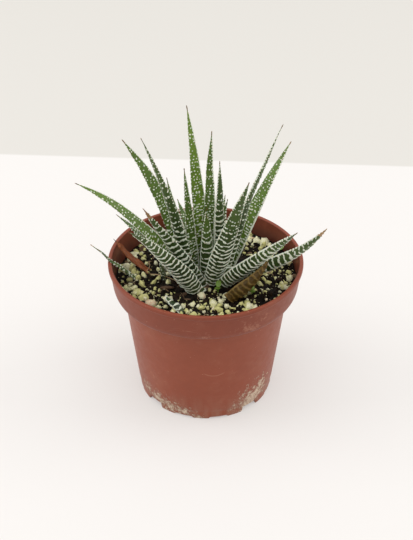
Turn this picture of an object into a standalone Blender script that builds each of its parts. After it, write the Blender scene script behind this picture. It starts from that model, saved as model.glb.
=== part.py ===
"""A potted zebra haworthia: a moulded nursery pot, its potting mix, and a rosette of separate leaves.

Run it with: blender --background --python part.py
Metres, +Z up. The origin is the middle of the pot's foot, on the surface that it stands on.
-Y is the front. Azimuths are degrees from +X towards +Y, so -90 points to the front.
"""

import math
from dataclasses import dataclass

import bpy
import numpy as np

MM = 0.001

# Pot: driving sizes.
POT_HEIGHT = 82 * MM
RIM_RADIUS = 52.5 * MM
WALL = 1.2 * MM
COLLAR_HEIGHT = 16 * MM
FOOT_HEIGHT = 6 * MM
POT_SIDES = 72

# Pot: sizes that follow from them.
LIP_HEIGHT = 0.026 * POT_HEIGHT
LIP_PROUD = 0.7 * WALL
COLLAR_FOOT_RADIUS = 0.945 * RIM_RADIUS
BODY_TOP_RADIUS = COLLAR_FOOT_RADIUS - 4.0 * WALL
BODY_FOOT_RADIUS = 0.724 * RIM_RADIUS
FOOT_RADIUS = BODY_FOOT_RADIUS - 0.7 * WALL
FLOOR_UNDERSIDE = 3.4 * MM
FLOOR_THICKNESS = 1.6 * MM

# Notches round the foot and holes in the floor, which let water out.
NOTCH_COUNT = 12
NOTCH_PHASE = 41.0
DEEP_EVERY = 3
NOTCH_WIDTH = 10 * MM
DEEP_NOTCH = 3.0 * MM
SHALLOW_NOTCH = 0.9 * MM
HOLE_COUNT = 6
HOLE_RADIUS = 4.0 * MM
HOLE_CIRCLE_RADIUS = 0.58 * FOOT_RADIUS

# The boss in the middle of the underside, which stands as low as the foot's ring.
BOSS_RADIUS = 6.0 * MM

# Potting mix: its level, and the clearance that every piece keeps from its neighbours.
SOIL_LEVEL = POT_HEIGHT - 10.5 * MM
SOIL_MOUND = 1.2 * MM
SOIL_MOUND_RADIUS = 24 * MM
GAP = 0.35 * MM
SOIL_SIDES = 48
SOIL_RINGS = 7

# Crown: the short stem that carries the rosette. It stands a little in front of the pot's middle.
CROWN_Y = -3 * MM
CROWN_TOP_RADIUS = 1.6 * MM
CROWN_NECK_RADIUS = 2.6 * MM
CROWN_RISE = 3.0 * MM
CROWN_DEPTH = 16 * MM
CROWN_SIDES = 16

# Leaves: how many sections each has, and how many points go round a section.
LEAF_STATIONS = 12
SECTION_POINTS = 10


@dataclass(frozen=True)
class Leaf:
    """One leaf. Lengths are in millimetres and angles in degrees.

    azimuth and seat place its base: a direction from the axis and a distance. lift is its height
    over the mix. rise is its slope at the base, bend what the slope gains by the tip, and swing how
    far its heading turns by the tip, starting at azimuth plus turn. roll turns its face about its
    own axis. thickness and cup are shares of the width.
    """

    name: str
    azimuth: float
    seat: float
    lift: float
    length: float
    width: float
    rise: float
    bend: float
    swing: float = 0.0
    turn: float = 0.0
    roll: float = 0.0
    thickness: float = 0.34
    cup: float = 0.10
    colour: str = "green"


# The rosette, from the heart outwards, and then the odd leaves that stand in the mix.
LEAVES = (
    Leaf("leaf_heart", 285, 2.5, 3, 42, 7, 88, 0),
    Leaf("leaf_middle", 75, 4.2, 3, 78, 7, 82, 0, turn=4),
    Leaf("leaf_tall", 97, 8.4, 3, 88, 8.5, 84, -15, turn=18),
    Leaf("leaf_inner_left", 165, 6.2, 2, 61, 6.5, 82, 0, turn=-35),
    Leaf("leaf_inner_right", 7, 8.4, 2, 69, 7.5, 91, 0, roll=-58),
    Leaf("leaf_front", 299, 8.3, 2, 77, 11, 70, 0, turn=11, roll=-28),
    Leaf("leaf_front_left_inner", 236, 8.7, 2, 58, 10, 63, -5, turn=-37, roll=45),
    Leaf("leaf_left_slender", 188, 9, 2, 89, 9, 82, -15, turn=4, roll=35),
    Leaf("leaf_left_broad", 155, 10.8, 1, 82, 10, 78, -28, turn=4, roll=-40),
    Leaf("leaf_right_slender", 354, 10.5, 2, 93, 8.5, 78, -12, turn=12, roll=-30),
    Leaf("leaf_right_broad", 17, 12, 1, 79, 9.5, 68, -14, turn=11, roll=20),
    Leaf("leaf_front_left", 245, 16, 1, 64, 12, 62, -18, turn=-29, roll=40),
    Leaf("leaf_left_arching", 187, 15, 1, 79, 8, 70, -48, turn=-12, roll=-20),
    Leaf("leaf_left_dark", 209, 17.5, 6, 52, 9.5, 60, -12, turn=-20),
    Leaf("leaf_right_low", 319, 15, 1, 64, 10.5, 50, -3, turn=5, roll=-45),
    Leaf("leaf_right_long", 344, 16, 1, 61, 11.5, 18, 38, turn=3, roll=-60),
    Leaf("leaf_back_left", 134, 13.5, 1, 48, 5, 48, 0, turn=-22),
    Leaf("leaf_back", 100, 14, 1, 40, 6, 27, 0, turn=12),
    Leaf("leaf_back_right", 60, 14, 1, 37, 6, 41, 0, turn=22),
    Leaf("leaf_inner_back", 53, 8.4, 1, 38, 6, 70, 0, turn=8),
    Leaf("leaf_back_upright", 86, 10.7, 2, 46, 7, 60, 0),
    Leaf("leaf_dying", 305, 26.5, 0, 27, 12, 40, 16, turn=65, roll=-60, colour="dying"),
    Leaf("leaf_dead", 168, 34, 0, 24, 5, 32, 24, turn=-4, colour="dead"),
    Leaf("leaf_small_dark", 182, 22, 0, 11, 6, 75, 0),
    Leaf("leaf_old_thin", 180, 39, 0, 31, 3, 43, 0),
    Leaf("leaf_pup", 245, 32, 0, 11, 4.5, 28, 0, turn=-100, roll=180),
)

GREEN = (0.055, 0.130, 0.030, 1.0)
COLOURS = {
    "green": GREEN,
    "dying": (0.200, 0.110, 0.020, 1.0),
    "dead": (0.180, 0.060, 0.025, 1.0),
}
TERRACOTTA = (0.270, 0.080, 0.045, 1.0)
PEAT = (0.030, 0.020, 0.014, 1.0)
CROWN_GREEN = (0.150, 0.190, 0.080, 1.0)


def clear_scene():
    """Removes the startup objects and makes the collections for the plant and its cutters."""
    for obj in list(bpy.data.objects):
        bpy.data.objects.remove(obj)
    collections = []
    for name in ("potted_haworthia", "cutters"):
        collection = bpy.data.collections.new(name)
        bpy.context.scene.collection.children.link(collection)
        collections.append(collection)
    return collections


def make_material(name, colour, roughness):
    """A Principled BSDF material."""
    material = bpy.data.materials.new(name)
    material.use_nodes = True
    shader = material.node_tree.nodes["Principled BSDF"]
    shader.inputs["Base Color"].default_value = colour
    shader.inputs["Roughness"].default_value = roughness
    shader.inputs["Metallic"].default_value = 0.0
    return material


def add_mesh(name, vertices, faces, collection, material=None):
    """An object made from vertices and faces."""
    mesh = bpy.data.meshes.new(name)
    mesh.from_pydata([tuple(v) for v in vertices], [], [tuple(f) for f in faces])
    mesh.update()
    obj = bpy.data.objects.new(name, mesh)
    collection.objects.link(obj)
    if material:
        mesh.materials.append(material)
    return obj


def shade_round(obj, angle=40):
    """Shades an object smooth, with edges sharper than angle kept crisp."""
    obj.data.shade_smooth()
    obj.data.set_sharp_from_angle(angle=math.radians(angle))


def add_turned(name, profile, sides, collection, material):
    """A turned solid: a profile of (radius, height) that starts and ends on the axis."""
    points = [(radius, 0.0, height) for radius, height in profile]
    edges = [(i, i + 1) for i in range(len(points) - 1)]
    mesh = bpy.data.meshes.new(name)
    mesh.from_pydata(points, edges, [])
    obj = bpy.data.objects.new(name, mesh)
    collection.objects.link(obj)
    mesh.materials.append(material)
    screw = obj.modifiers.new("turn", "SCREW")
    screw.steps = screw.render_steps = sides
    screw.use_merge_vertices = True
    screw.merge_threshold = 0.00001
    screw.use_smooth_shade = True
    return obj


# ---------------------------------------------------------------- pot


def pot_inner_radius(height):
    """The inner wall's radius at a height: straight down the body, then out under the collar."""
    body_top = POT_HEIGHT - COLLAR_HEIGHT - 2.5 * MM
    heights = (FOOT_HEIGHT, body_top, POT_HEIGHT - COLLAR_HEIGHT, POT_HEIGHT)
    radii = (BODY_FOOT_RADIUS, BODY_TOP_RADIUS, COLLAR_FOOT_RADIUS, RIM_RADIUS - LIP_PROUD)
    return float(np.interp(height, heights, radii)) - WALL


def pot_profile():
    """The pot's section, from the floor's top round the wall and the foot to its underside."""
    floor_top = FLOOR_UNDERSIDE + FLOOR_THICKNESS
    collar_foot = POT_HEIGHT - COLLAR_HEIGHT
    body_top = collar_foot - 2.5 * MM
    inner = [(0.0, floor_top), (BODY_FOOT_RADIUS - WALL - 1.5 * MM, floor_top)]
    for height in (FOOT_HEIGHT + 1.0 * MM, body_top, collar_foot, POT_HEIGHT - 0.4 * MM):
        inner.append((pot_inner_radius(height), height))
    lip_foot = POT_HEIGHT - LIP_HEIGHT
    rim_middle = RIM_RADIUS - LIP_PROUD - 0.5 * WALL
    outer = [
        (rim_middle, POT_HEIGHT),
        (RIM_RADIUS, POT_HEIGHT - 0.5 * MM),
        (RIM_RADIUS, lip_foot),
        (RIM_RADIUS - LIP_PROUD, lip_foot - 0.5 * MM),
        (COLLAR_FOOT_RADIUS + 0.5 * MM, collar_foot + 1.5 * MM),
        (COLLAR_FOOT_RADIUS - 0.4 * MM, collar_foot - 0.6 * MM),
        (BODY_TOP_RADIUS, body_top),
        (BODY_FOOT_RADIUS, FOOT_HEIGHT + 0.8 * MM),
        (FOOT_RADIUS + 0.3 * MM, FOOT_HEIGHT - 1.0 * MM),
        (FOOT_RADIUS, 0.0),
        (FOOT_RADIUS - 1.2 * WALL, 0.0),
        (FOOT_RADIUS - 1.4 * WALL, FLOOR_UNDERSIDE),
        (BOSS_RADIUS + 0.3 * MM, FLOOR_UNDERSIDE),
        (BOSS_RADIUS, 0.0),
        (0.0, 0.0),
    ]
    return inner + outer


def add_notch_cutters(collection):
    """Blocks across the foot's ring: one deep notch, then shallow ones, all the way round."""
    for i in range(NOTCH_COUNT):
        angle = math.radians(NOTCH_PHASE + i * 360 / NOTCH_COUNT)
        height = DEEP_NOTCH if i % DEEP_EVERY == 0 else SHALLOW_NOTCH
        below = 2 * MM
        bpy.ops.mesh.primitive_cube_add(size=1)
        block = bpy.context.object
        block.name = f"notch_cutter_{i + 1}"
        radius = FOOT_RADIUS - 1.0 * MM
        block.location = (
            radius * math.cos(angle),
            radius * math.sin(angle),
            (height - below) / 2,
        )
        block.rotation_euler = (0, 0, angle)
        block.scale = (8 * MM, NOTCH_WIDTH, height + below)
        move_to(block, collection)


def add_hole_cutters(collection):
    """Round holes through the floor, on one circle."""
    for i in range(HOLE_COUNT):
        angle = math.radians(i * 360 / HOLE_COUNT)
        x, y = HOLE_CIRCLE_RADIUS * math.cos(angle), HOLE_CIRCLE_RADIUS * math.sin(angle)
        bpy.ops.mesh.primitive_cylinder_add(
            vertices=16, radius=HOLE_RADIUS, depth=12 * MM, location=(x, y, FLOOR_UNDERSIDE)
        )
        drill = bpy.context.object
        drill.name = f"drain_hole_cutter_{i + 1}"
        move_to(drill, collection)


def move_to(obj, collection):
    """Puts a primitive into a collection, as a hidden cutter."""
    for old in list(obj.users_collection):
        old.objects.unlink(obj)
    collection.objects.link(obj)
    obj.hide_render = True
    obj.display_type = "WIRE"


def build_pot(collection, cutters):
    """The nursery pot: one thin moulding with a collar, a foot ring and drainage."""
    material = make_material("terracotta_plastic", TERRACOTTA, 0.45)
    pot = add_turned("pot", pot_profile(), POT_SIDES, collection, material)
    add_notch_cutters(cutters)
    add_hole_cutters(cutters)
    cut = pot.modifiers.new("drainage", "BOOLEAN")
    cut.operation = "DIFFERENCE"
    cut.operand_type = "COLLECTION"
    cut.collection = cutters
    return pot


# ---------------------------------------------------------------- potting mix and crown


def soil_height(x, y):
    """The mix's surface: level, with a low mound round the crown and a slight rise to the right."""
    mound = SOIL_MOUND * np.exp(-(x * x + y * y) / SOIL_MOUND_RADIUS**2)
    return SOIL_LEVEL + mound + 0.015 * x


def build_soil(collection):
    """The potting mix: it fills the pot, with a socket in the middle that the crown stands in."""
    material = make_material("potting_mix", PEAT, 0.95)
    floor = FLOOR_UNDERSIDE + FLOOR_THICKNESS + GAP
    body_top = POT_HEIGHT - COLLAR_HEIGHT - 2.5 * MM
    collar_foot = POT_HEIGHT - COLLAR_HEIGHT
    top_radius = pot_inner_radius(SOIL_LEVEL - 1.0 * MM) - GAP
    socket = CROWN_NECK_RADIUS + GAP
    socket_floor = SOIL_LEVEL - CROWN_DEPTH - GAP
    rings = [(socket, CROWN_Y, socket_floor, False)]
    for i in range(SOIL_RINGS):
        outward = i / (SOIL_RINGS - 1)
        radius = socket + (top_radius - socket) * outward
        rings.append((radius, CROWN_Y * (1 - outward), 0.0, True))
    for height in (collar_foot, body_top, FOOT_HEIGHT + 1.0 * MM):
        rings.append((pot_inner_radius(height) - GAP, 0.0, height, False))
    rings.append((BODY_FOOT_RADIUS - WALL - 1.5 * MM - 2 * GAP, 0.0, floor, False))
    rings.reverse()
    angles = np.linspace(0, 2 * np.pi, SOIL_SIDES, endpoint=False)
    vertices = []
    for radius, centre_y, height, on_surface in rings:
        x, y = radius * np.cos(angles), centre_y + radius * np.sin(angles)
        z = soil_height(x, y) if on_surface else np.full_like(x, height)
        vertices.append(np.stack([x, y, z], axis=1))
    faces = loft_faces(len(rings), SOIL_SIDES)
    return add_mesh("potting_mix", np.concatenate(vertices), faces, collection, material)


def build_crown(collection):
    """The crown: a short stem, standing in the mix, that the leaves spring from."""
    material = make_material("crown_flesh", CROWN_GREEN, 0.6)
    profile = [
        (0.0, SOIL_LEVEL + SOIL_MOUND + CROWN_RISE),
        (CROWN_TOP_RADIUS, SOIL_LEVEL + SOIL_MOUND + CROWN_RISE - 0.6 * MM),
        (CROWN_NECK_RADIUS, SOIL_LEVEL + SOIL_MOUND),
        (CROWN_NECK_RADIUS, SOIL_LEVEL - 0.6 * CROWN_DEPTH),
        (0.4 * CROWN_NECK_RADIUS, SOIL_LEVEL - CROWN_DEPTH),
        (0.0, SOIL_LEVEL - CROWN_DEPTH),
    ]
    crown = add_turned("crown", profile, CROWN_SIDES, collection, material)
    crown.location.y = CROWN_Y
    return crown


# ---------------------------------------------------------------- leaves


def loft_faces(rings, sides):
    """Quads between successive rings, and a cap on the first and the last ring."""
    faces = []
    for i in range(rings - 1):
        for j in range(sides):
            a, b = i * sides + j, i * sides + (j + 1) % sides
            faces.append((a, b, b + sides, a + sides))
    faces.append(tuple(range(sides))[::-1])
    faces.append(tuple(range((rings - 1) * sides, rings * sides)))
    return faces


def leaf_spine(leaf, stations):
    """The leaf's midline from its base, and the side and the normal of its face at each station.

    The slope goes from rise to rise + bend and the heading turns by swing, both evenly, and the
    midline is the sum of the short steps that they give.
    """
    share = np.linspace(0.0, 1.0, stations)
    slope = np.radians(leaf.rise + leaf.bend * share)
    heading = np.radians(leaf.azimuth + leaf.turn + leaf.swing * share)
    flat = np.cos(slope)
    tangent = np.stack([flat * np.cos(heading), flat * np.sin(heading), np.sin(slope)], axis=1)
    side = np.stack([-np.sin(heading), np.cos(heading), np.zeros_like(heading)], axis=1)
    normal = np.cross(tangent, side)
    roll = math.radians(leaf.roll)
    rolled_side = math.cos(roll) * side + math.sin(roll) * normal
    rolled_normal = math.cos(roll) * normal - math.sin(roll) * side
    steps = (tangent[1:] + tangent[:-1]) / 2 * leaf.length * MM / (stations - 1)
    points = np.concatenate([np.zeros((1, 3)), np.cumsum(steps, axis=0)])
    return share, points, rolled_side, rolled_normal


def leaf_section(leaf, share):
    """Half width, upper bulge, lower bulge and cup of the section at each share of the length."""
    base_ease = np.clip(share / 0.18, 0, 1)
    width = leaf.width * MM / 2 * (1 - share**2) * (0.84 + 0.16 * base_ease)
    width = np.maximum(width, 0.25 * MM)
    thickness = leaf.thickness * leaf.width * MM * (1 - share**2) * (0.7 + 0.3 * base_ease)
    thickness = np.maximum(thickness, 0.3 * MM)
    upper = thickness * (0.12 + 0.25 * share)
    lower = thickness - upper
    cup = leaf.cup * leaf.width * MM * (1 - share) ** 1.5
    return width, upper, lower, cup


def leaf_vertices(leaf, stations, points_round):
    """The leaf's surface points: a section of two half ellipses with raised margins, lofted.

    The lowest point of its base stands lift over the mix, and a gap more.
    """
    share, points, side, normal = leaf_spine(leaf, stations)
    width, upper, lower, cup = leaf_section(leaf, share)
    turn = np.linspace(0, 2 * np.pi, points_round, endpoint=False)
    across = np.cos(turn)
    rise = np.sin(turn)
    out = width[:, None] * across
    up = np.where(rise > 0, upper[:, None], lower[:, None]) * rise + cup[:, None] * across**2
    surface = points[:, None, :] + out[..., None] * side[:, None, :] + up[..., None] * normal[:, None, :]
    azimuth = math.radians(leaf.azimuth)
    x = leaf.seat * MM * math.cos(azimuth)
    y = CROWN_Y + leaf.seat * MM * math.sin(azimuth)
    z = float(soil_height(x, y)) + leaf.lift * MM + GAP - surface[0, :, 2].min()
    return surface.reshape(-1, 3) + np.array([x, y, z])


def build_leaf(leaf, collection, materials):
    """One leaf, lofted along its midline."""
    vertices = leaf_vertices(leaf, LEAF_STATIONS, SECTION_POINTS)
    faces = loft_faces(LEAF_STATIONS, SECTION_POINTS)
    obj = add_mesh(leaf.name, vertices, faces, collection, materials[leaf.colour])
    shade_round(obj, 60)
    return obj


def main():
    """Builds the whole plant."""
    plant, cutters = clear_scene()
    build_pot(plant, cutters)
    build_soil(plant)
    build_crown(plant)
    materials = {name: make_material(f"leaf_{name}", colour, 0.5) for name, colour in COLOURS.items()}
    for leaf in LEAVES:
        build_leaf(leaf, plant, materials)


main()
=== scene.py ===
"""The looks of a potted zebra haworthia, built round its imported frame.

Everything is in metres, +Z up. The origin is the middle of the pot's foot, on the surface that it
stands on, and -Y is the front. Azimuths are degrees from +X towards +Y, so -90 points to the front.
Each leaf, the pot, the potting mix and what lies in it is a surface worked out with numpy on a grid,
and each finish is a material made of nodes.
"""

import functools
import itertools
import logging
import math
from dataclasses import dataclass, field
from enum import Enum

import bpy
import numpy as np
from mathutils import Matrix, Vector


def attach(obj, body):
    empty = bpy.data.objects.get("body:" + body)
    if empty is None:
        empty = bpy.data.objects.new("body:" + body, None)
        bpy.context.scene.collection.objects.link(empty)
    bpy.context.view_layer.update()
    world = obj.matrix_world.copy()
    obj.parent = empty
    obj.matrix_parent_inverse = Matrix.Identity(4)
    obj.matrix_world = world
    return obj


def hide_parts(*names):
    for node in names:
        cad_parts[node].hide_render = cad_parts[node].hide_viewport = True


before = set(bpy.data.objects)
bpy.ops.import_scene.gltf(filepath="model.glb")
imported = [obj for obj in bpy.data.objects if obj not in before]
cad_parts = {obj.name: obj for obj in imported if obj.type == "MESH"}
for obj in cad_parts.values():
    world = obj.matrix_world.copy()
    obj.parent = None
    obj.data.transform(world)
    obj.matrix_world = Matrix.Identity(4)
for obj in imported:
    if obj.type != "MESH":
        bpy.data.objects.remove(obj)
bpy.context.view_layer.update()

MM = 0.001
FULL_TURN = 2 * math.pi
Array = np.ndarray
Colour = tuple[float, float, float]
Material = bpy.types.Material
Node = bpy.types.Node
Socket = bpy.types.NodeSocket
Value = float | Colour | Socket
log = logging.getLogger("haworthia")


# ---------------- numbers that vary over a surface


def ease(value: Array, low: float, high: float) -> Array:
    """A smooth step: 0 at low, 1 at high, and 3t^2 - 2t^3 between them.

    Args:
        value: where to read the step.
        low: where it starts.
        high: where it ends.

    Returns:
        The step's height at each value.
    """
    t = np.clip((value - low) / (high - low), 0.0, 1.0)
    return t * t * (3.0 - 2.0 * t)


def hashed(cells: Array, seed: int) -> Array:
    """An even, repeatable draw for each lattice cell: its whole numbers mixed by primes and shifts.

    Args:
        cells: whole numbers, three to a cell on the last axis.
        seed: which draw it is.

    Returns:
        One number from 0 to 1 for each cell.
    """
    cells = cells.astype(np.int64)
    mixed = cells[..., 0] * 374761393 + cells[..., 1] * 668265263 + cells[..., 2] * 1442695041
    mixed = (mixed + seed * 1274126177) & 0xFFFFFFFF
    mixed = ((mixed ^ (mixed >> 13)) * 1103515245) & 0xFFFFFFFF
    mixed = ((mixed ^ (mixed >> 16)) * 69069) & 0xFFFFFFFF
    return ((mixed ^ (mixed >> 15)) & 0xFFFFFF) / 0xFFFFFF


def lattice_noise(points: Array, size: float, seed: int) -> Array:
    """Smooth noise: hashed values at the corners of a lattice, blended by smooth steps between them.

    Args:
        points: places, three coordinates on the last axis.
        size: the lattice's pitch, in the unit of points.
        seed: which noise it is.

    Returns:
        One number from -1 to 1 for each point.
    """
    places = points / size
    cells = np.floor(places).astype(np.int64)
    t = places - cells
    t = t * t * (3.0 - 2.0 * t)
    total = np.zeros(points.shape[:-1])
    for corner in itertools.product((0, 1), repeat=3):
        weight = np.prod(np.where(corner, t, 1.0 - t), axis=-1)
        total += weight * hashed(cells + np.array(corner), seed)
    return 2.0 * total - 1.0


def layered_noise(points: Array, size: float, seed: int, layers: int = 3) -> Array:
    """Noise on noise: each layer has half the size and half the height of the one before.

    Args:
        points: places, three coordinates on the last axis.
        size: the first layer's pitch.
        seed: the first layer's seed.
        layers: how many there are.

    Returns:
        One number for each point, mostly from -1 to 1.
    """
    total = np.zeros(points.shape[:-1])
    for layer in range(layers):
        total += 0.5**layer * lattice_noise(points, size * 0.5**layer, seed + layer)
    return total / 1.5


def random_turns(count: int, random: np.random.Generator) -> Array:
    """Even random rotation matrices, made from unit quaternions.

    Args:
        count: how many.
        random: where the draws come from.

    Returns:
        Matrices of shape (count, 3, 3).
    """
    q = random.normal(size=(count, 4))
    w, x, y, z = (q / np.linalg.norm(q, axis=1, keepdims=True)).T
    rows = [
        [1 - 2 * (y * y + z * z), 2 * (x * y - z * w), 2 * (x * z + y * w)],
        [2 * (x * y + z * w), 1 - 2 * (x * x + z * z), 2 * (y * z - x * w)],
        [2 * (x * z - y * w), 2 * (y * z + x * w), 1 - 2 * (x * x + y * y)],
    ]
    return np.array(rows).transpose(2, 0, 1)


# ---------------- surfaces


@dataclass
class Surface:
    """A closed mesh in the making.

    Attributes:
        points: places, shape (points, 3).
        quads: four point numbers to a face.
        triangles: three point numbers to a face.
        values: named numbers, one for each point.
    """

    points: Array
    quads: Array
    triangles: Array
    values: dict[str, Array] = field(default_factory=dict)

    @classmethod
    def tube(cls, grid: Array, values: dict[str, Array] | None = None) -> "Surface":
        """A tube closed at both ends by a fan to a pole, the middle of its end ring.

        Args:
            grid: rings of points, shape (rings, sides, 3), anticlockwise seen from the last ring.
            values: named numbers, of shape (rings, sides) or one that spreads to it.

        Returns:
            The surface, with its faces outwards.
        """
        rings, sides = grid.shape[:2]
        index = np.arange(rings * sides).reshape(rings, sides)
        after = np.roll(index, -1, axis=1)
        quads = np.stack([index[:-1], after[:-1], after[1:], index[1:]], axis=-1).reshape(-1, 4)
        first, last = rings * sides, rings * sides + 1
        ends = [
            np.stack([np.full(sides, first), after[0], index[0]], axis=-1),
            np.stack([np.full(sides, last), index[-1], after[-1]], axis=-1),
        ]
        poles = np.stack([grid[0].mean(axis=0), grid[-1].mean(axis=0)])
        named = {}
        for name, value in (values or {}).items():
            full = np.broadcast_to(value, (rings, sides))
            named[name] = np.concatenate([full.ravel(), [full[0].mean(), full[-1].mean()]])
        return cls(np.concatenate([grid.reshape(-1, 3), poles]), quads, np.concatenate(ends), named)

    @classmethod
    def copies(cls, shape: "Surface", places: Array, values: dict[str, Array]) -> "Surface":
        """Many copies of one shape.

        Args:
            shape: what is copied.
            places: each copy's points, shape (copies, points, 3).
            values: named numbers, one for each copy.

        Returns:
            One surface that holds them all.
        """
        count, size = places.shape[:2]
        step = (np.arange(count) * size)[:, None, None]
        quads = (shape.quads[None] + step).reshape(-1, 4)
        triangles = (shape.triangles[None] + step).reshape(-1, 3)
        named = {name: np.repeat(value, size) for name, value in values.items()}
        return cls(places.reshape(-1, 3), quads, triangles, named)

    @classmethod
    def together(cls, pieces: list["Surface"]) -> "Surface":
        """Several surfaces as one, with the named numbers that the first one has.

        Args:
            pieces: the surfaces; all of them have those numbers.

        Returns:
            One surface, whose points are numbered on from piece to piece.
        """
        starts = np.cumsum([0] + [len(piece.points) for piece in pieces[:-1]])
        return cls(
            np.concatenate([piece.points for piece in pieces]),
            np.concatenate([piece.quads + start for piece, start in zip(pieces, starts)]),
            np.concatenate([piece.triangles + start for piece, start in zip(pieces, starts)]),
            {name: np.concatenate([piece.values[name] for piece in pieces]) for name in pieces[0].values},
        )

    def to_object(self, name: str, material: Material) -> bpy.types.Object:
        """Makes the mesh and its object, at the origin and shaded smooth.

        Args:
            name: the object's name.
            material: its finish.

        Returns:
            The object, linked to the scene.
        """
        mesh = bpy.data.meshes.new(name)
        mesh.vertices.add(len(self.points))
        mesh.vertices.foreach_set("co", self.points.astype(np.float32).ravel())
        corners = np.concatenate([self.quads.ravel(), self.triangles.ravel()]).astype(np.int32)
        sizes = np.repeat([4, 3], [len(self.quads), len(self.triangles)])
        starts = np.cumsum(sizes) - sizes
        mesh.loops.add(len(corners))
        mesh.loops.foreach_set("vertex_index", corners)
        mesh.polygons.add(len(sizes))
        mesh.polygons.foreach_set("loop_start", starts.astype(np.int32))
        for value_name, value in self.values.items():
            attribute = mesh.attributes.new(value_name, "FLOAT", "POINT")
            attribute.data.foreach_set("value", value.astype(np.float32))
        mesh.update(calc_edges=True)
        mesh.shade_smooth()
        mesh.materials.append(material)
        obj = bpy.data.objects.new(name, mesh)
        bpy.context.scene.collection.objects.link(obj)
        return obj


def ball(rings: int, sides: int) -> Surface:
    """A unit ball: rings of latitude between two poles, evenly spaced in angle.

    Args:
        rings: how many rings there are.
        sides: how many points go round each.

    Returns:
        The ball, with no named numbers.
    """
    latitude = np.linspace(-math.pi / 2, math.pi / 2, rings + 2)[1:-1, None]
    around = np.linspace(0, FULL_TURN, sides, endpoint=False)[None]
    flat = np.cos(latitude)
    grid = np.stack(
        [flat * np.cos(around), flat * np.sin(around), np.sin(latitude) + 0 * around], axis=-1
    )
    surface = Surface.tube(grid)
    surface.points[-2:] = [[0, 0, -1], [0, 0, 1]]
    return surface


def along_path(path: Array) -> tuple[Array, Array, Array]:
    """The directions that a tube needs at each point of a path.

    Args:
        path: points, shape (points, 3).

    Returns:
        The unit tangent, a unit side, level and square to it, and the normal that completes them.
    """
    tangent = np.gradient(path, axis=0)
    tangent /= np.linalg.norm(tangent, axis=1, keepdims=True)
    side = np.stack([-tangent[:, 1], tangent[:, 0], np.zeros(len(path))], axis=1)
    side += np.array([1e-6, 0.0, 0.0])
    side /= np.linalg.norm(side, axis=1, keepdims=True)
    return tangent, side, np.cross(tangent, side)


def strand(path: Array, radius: Array, sides: int, tone: float) -> Surface:
    """A round strand: a circle of the given radius carried along a path.

    Args:
        path: points, shape (points, 3).
        radius: the strand's radius at each point.
        sides: how many sides the circle has.
        tone: its tone, from 0, dark, to 1, pale.

    Returns:
        The closed strand.
    """
    _, side, normal = along_path(path)
    around = np.linspace(0, FULL_TURN, sides, endpoint=False)[None, :, None]
    ring = np.cos(around) * side[:, None] + np.sin(around) * normal[:, None]
    grid = path[:, None] + radius[:, None, None] * ring
    return Surface.tube(grid, {"tone": np.full(grid.shape[:2], tone)})


def smooth_path(knots: list[tuple[float, float, float]], count: int) -> Array:
    """A smooth path through a few knots in millimetres, by cubic Catmull-Rom spans, in metres.

    Args:
        knots: the points that it passes through.
        count: how many points it gets.

    Returns:
        The path, shape (count, 3).
    """
    known = np.array(knots) * MM
    known = np.concatenate([2 * known[:1] - known[1:2], known, 2 * known[-1:] - known[-2:-1]])
    place = np.linspace(0, len(knots) - 1, count)
    span = np.minimum(place.astype(int), len(knots) - 2)
    t = (place - span)[:, None]
    a, b, c, d = (known[span + i] for i in range(4))
    return 0.5 * (2 * b + (c - a) * t + (2 * a - 5 * b + 4 * c - d) * t**2 + (3 * b - a - 3 * c + d) * t**3)


# ---------------- drawing materials


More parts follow.
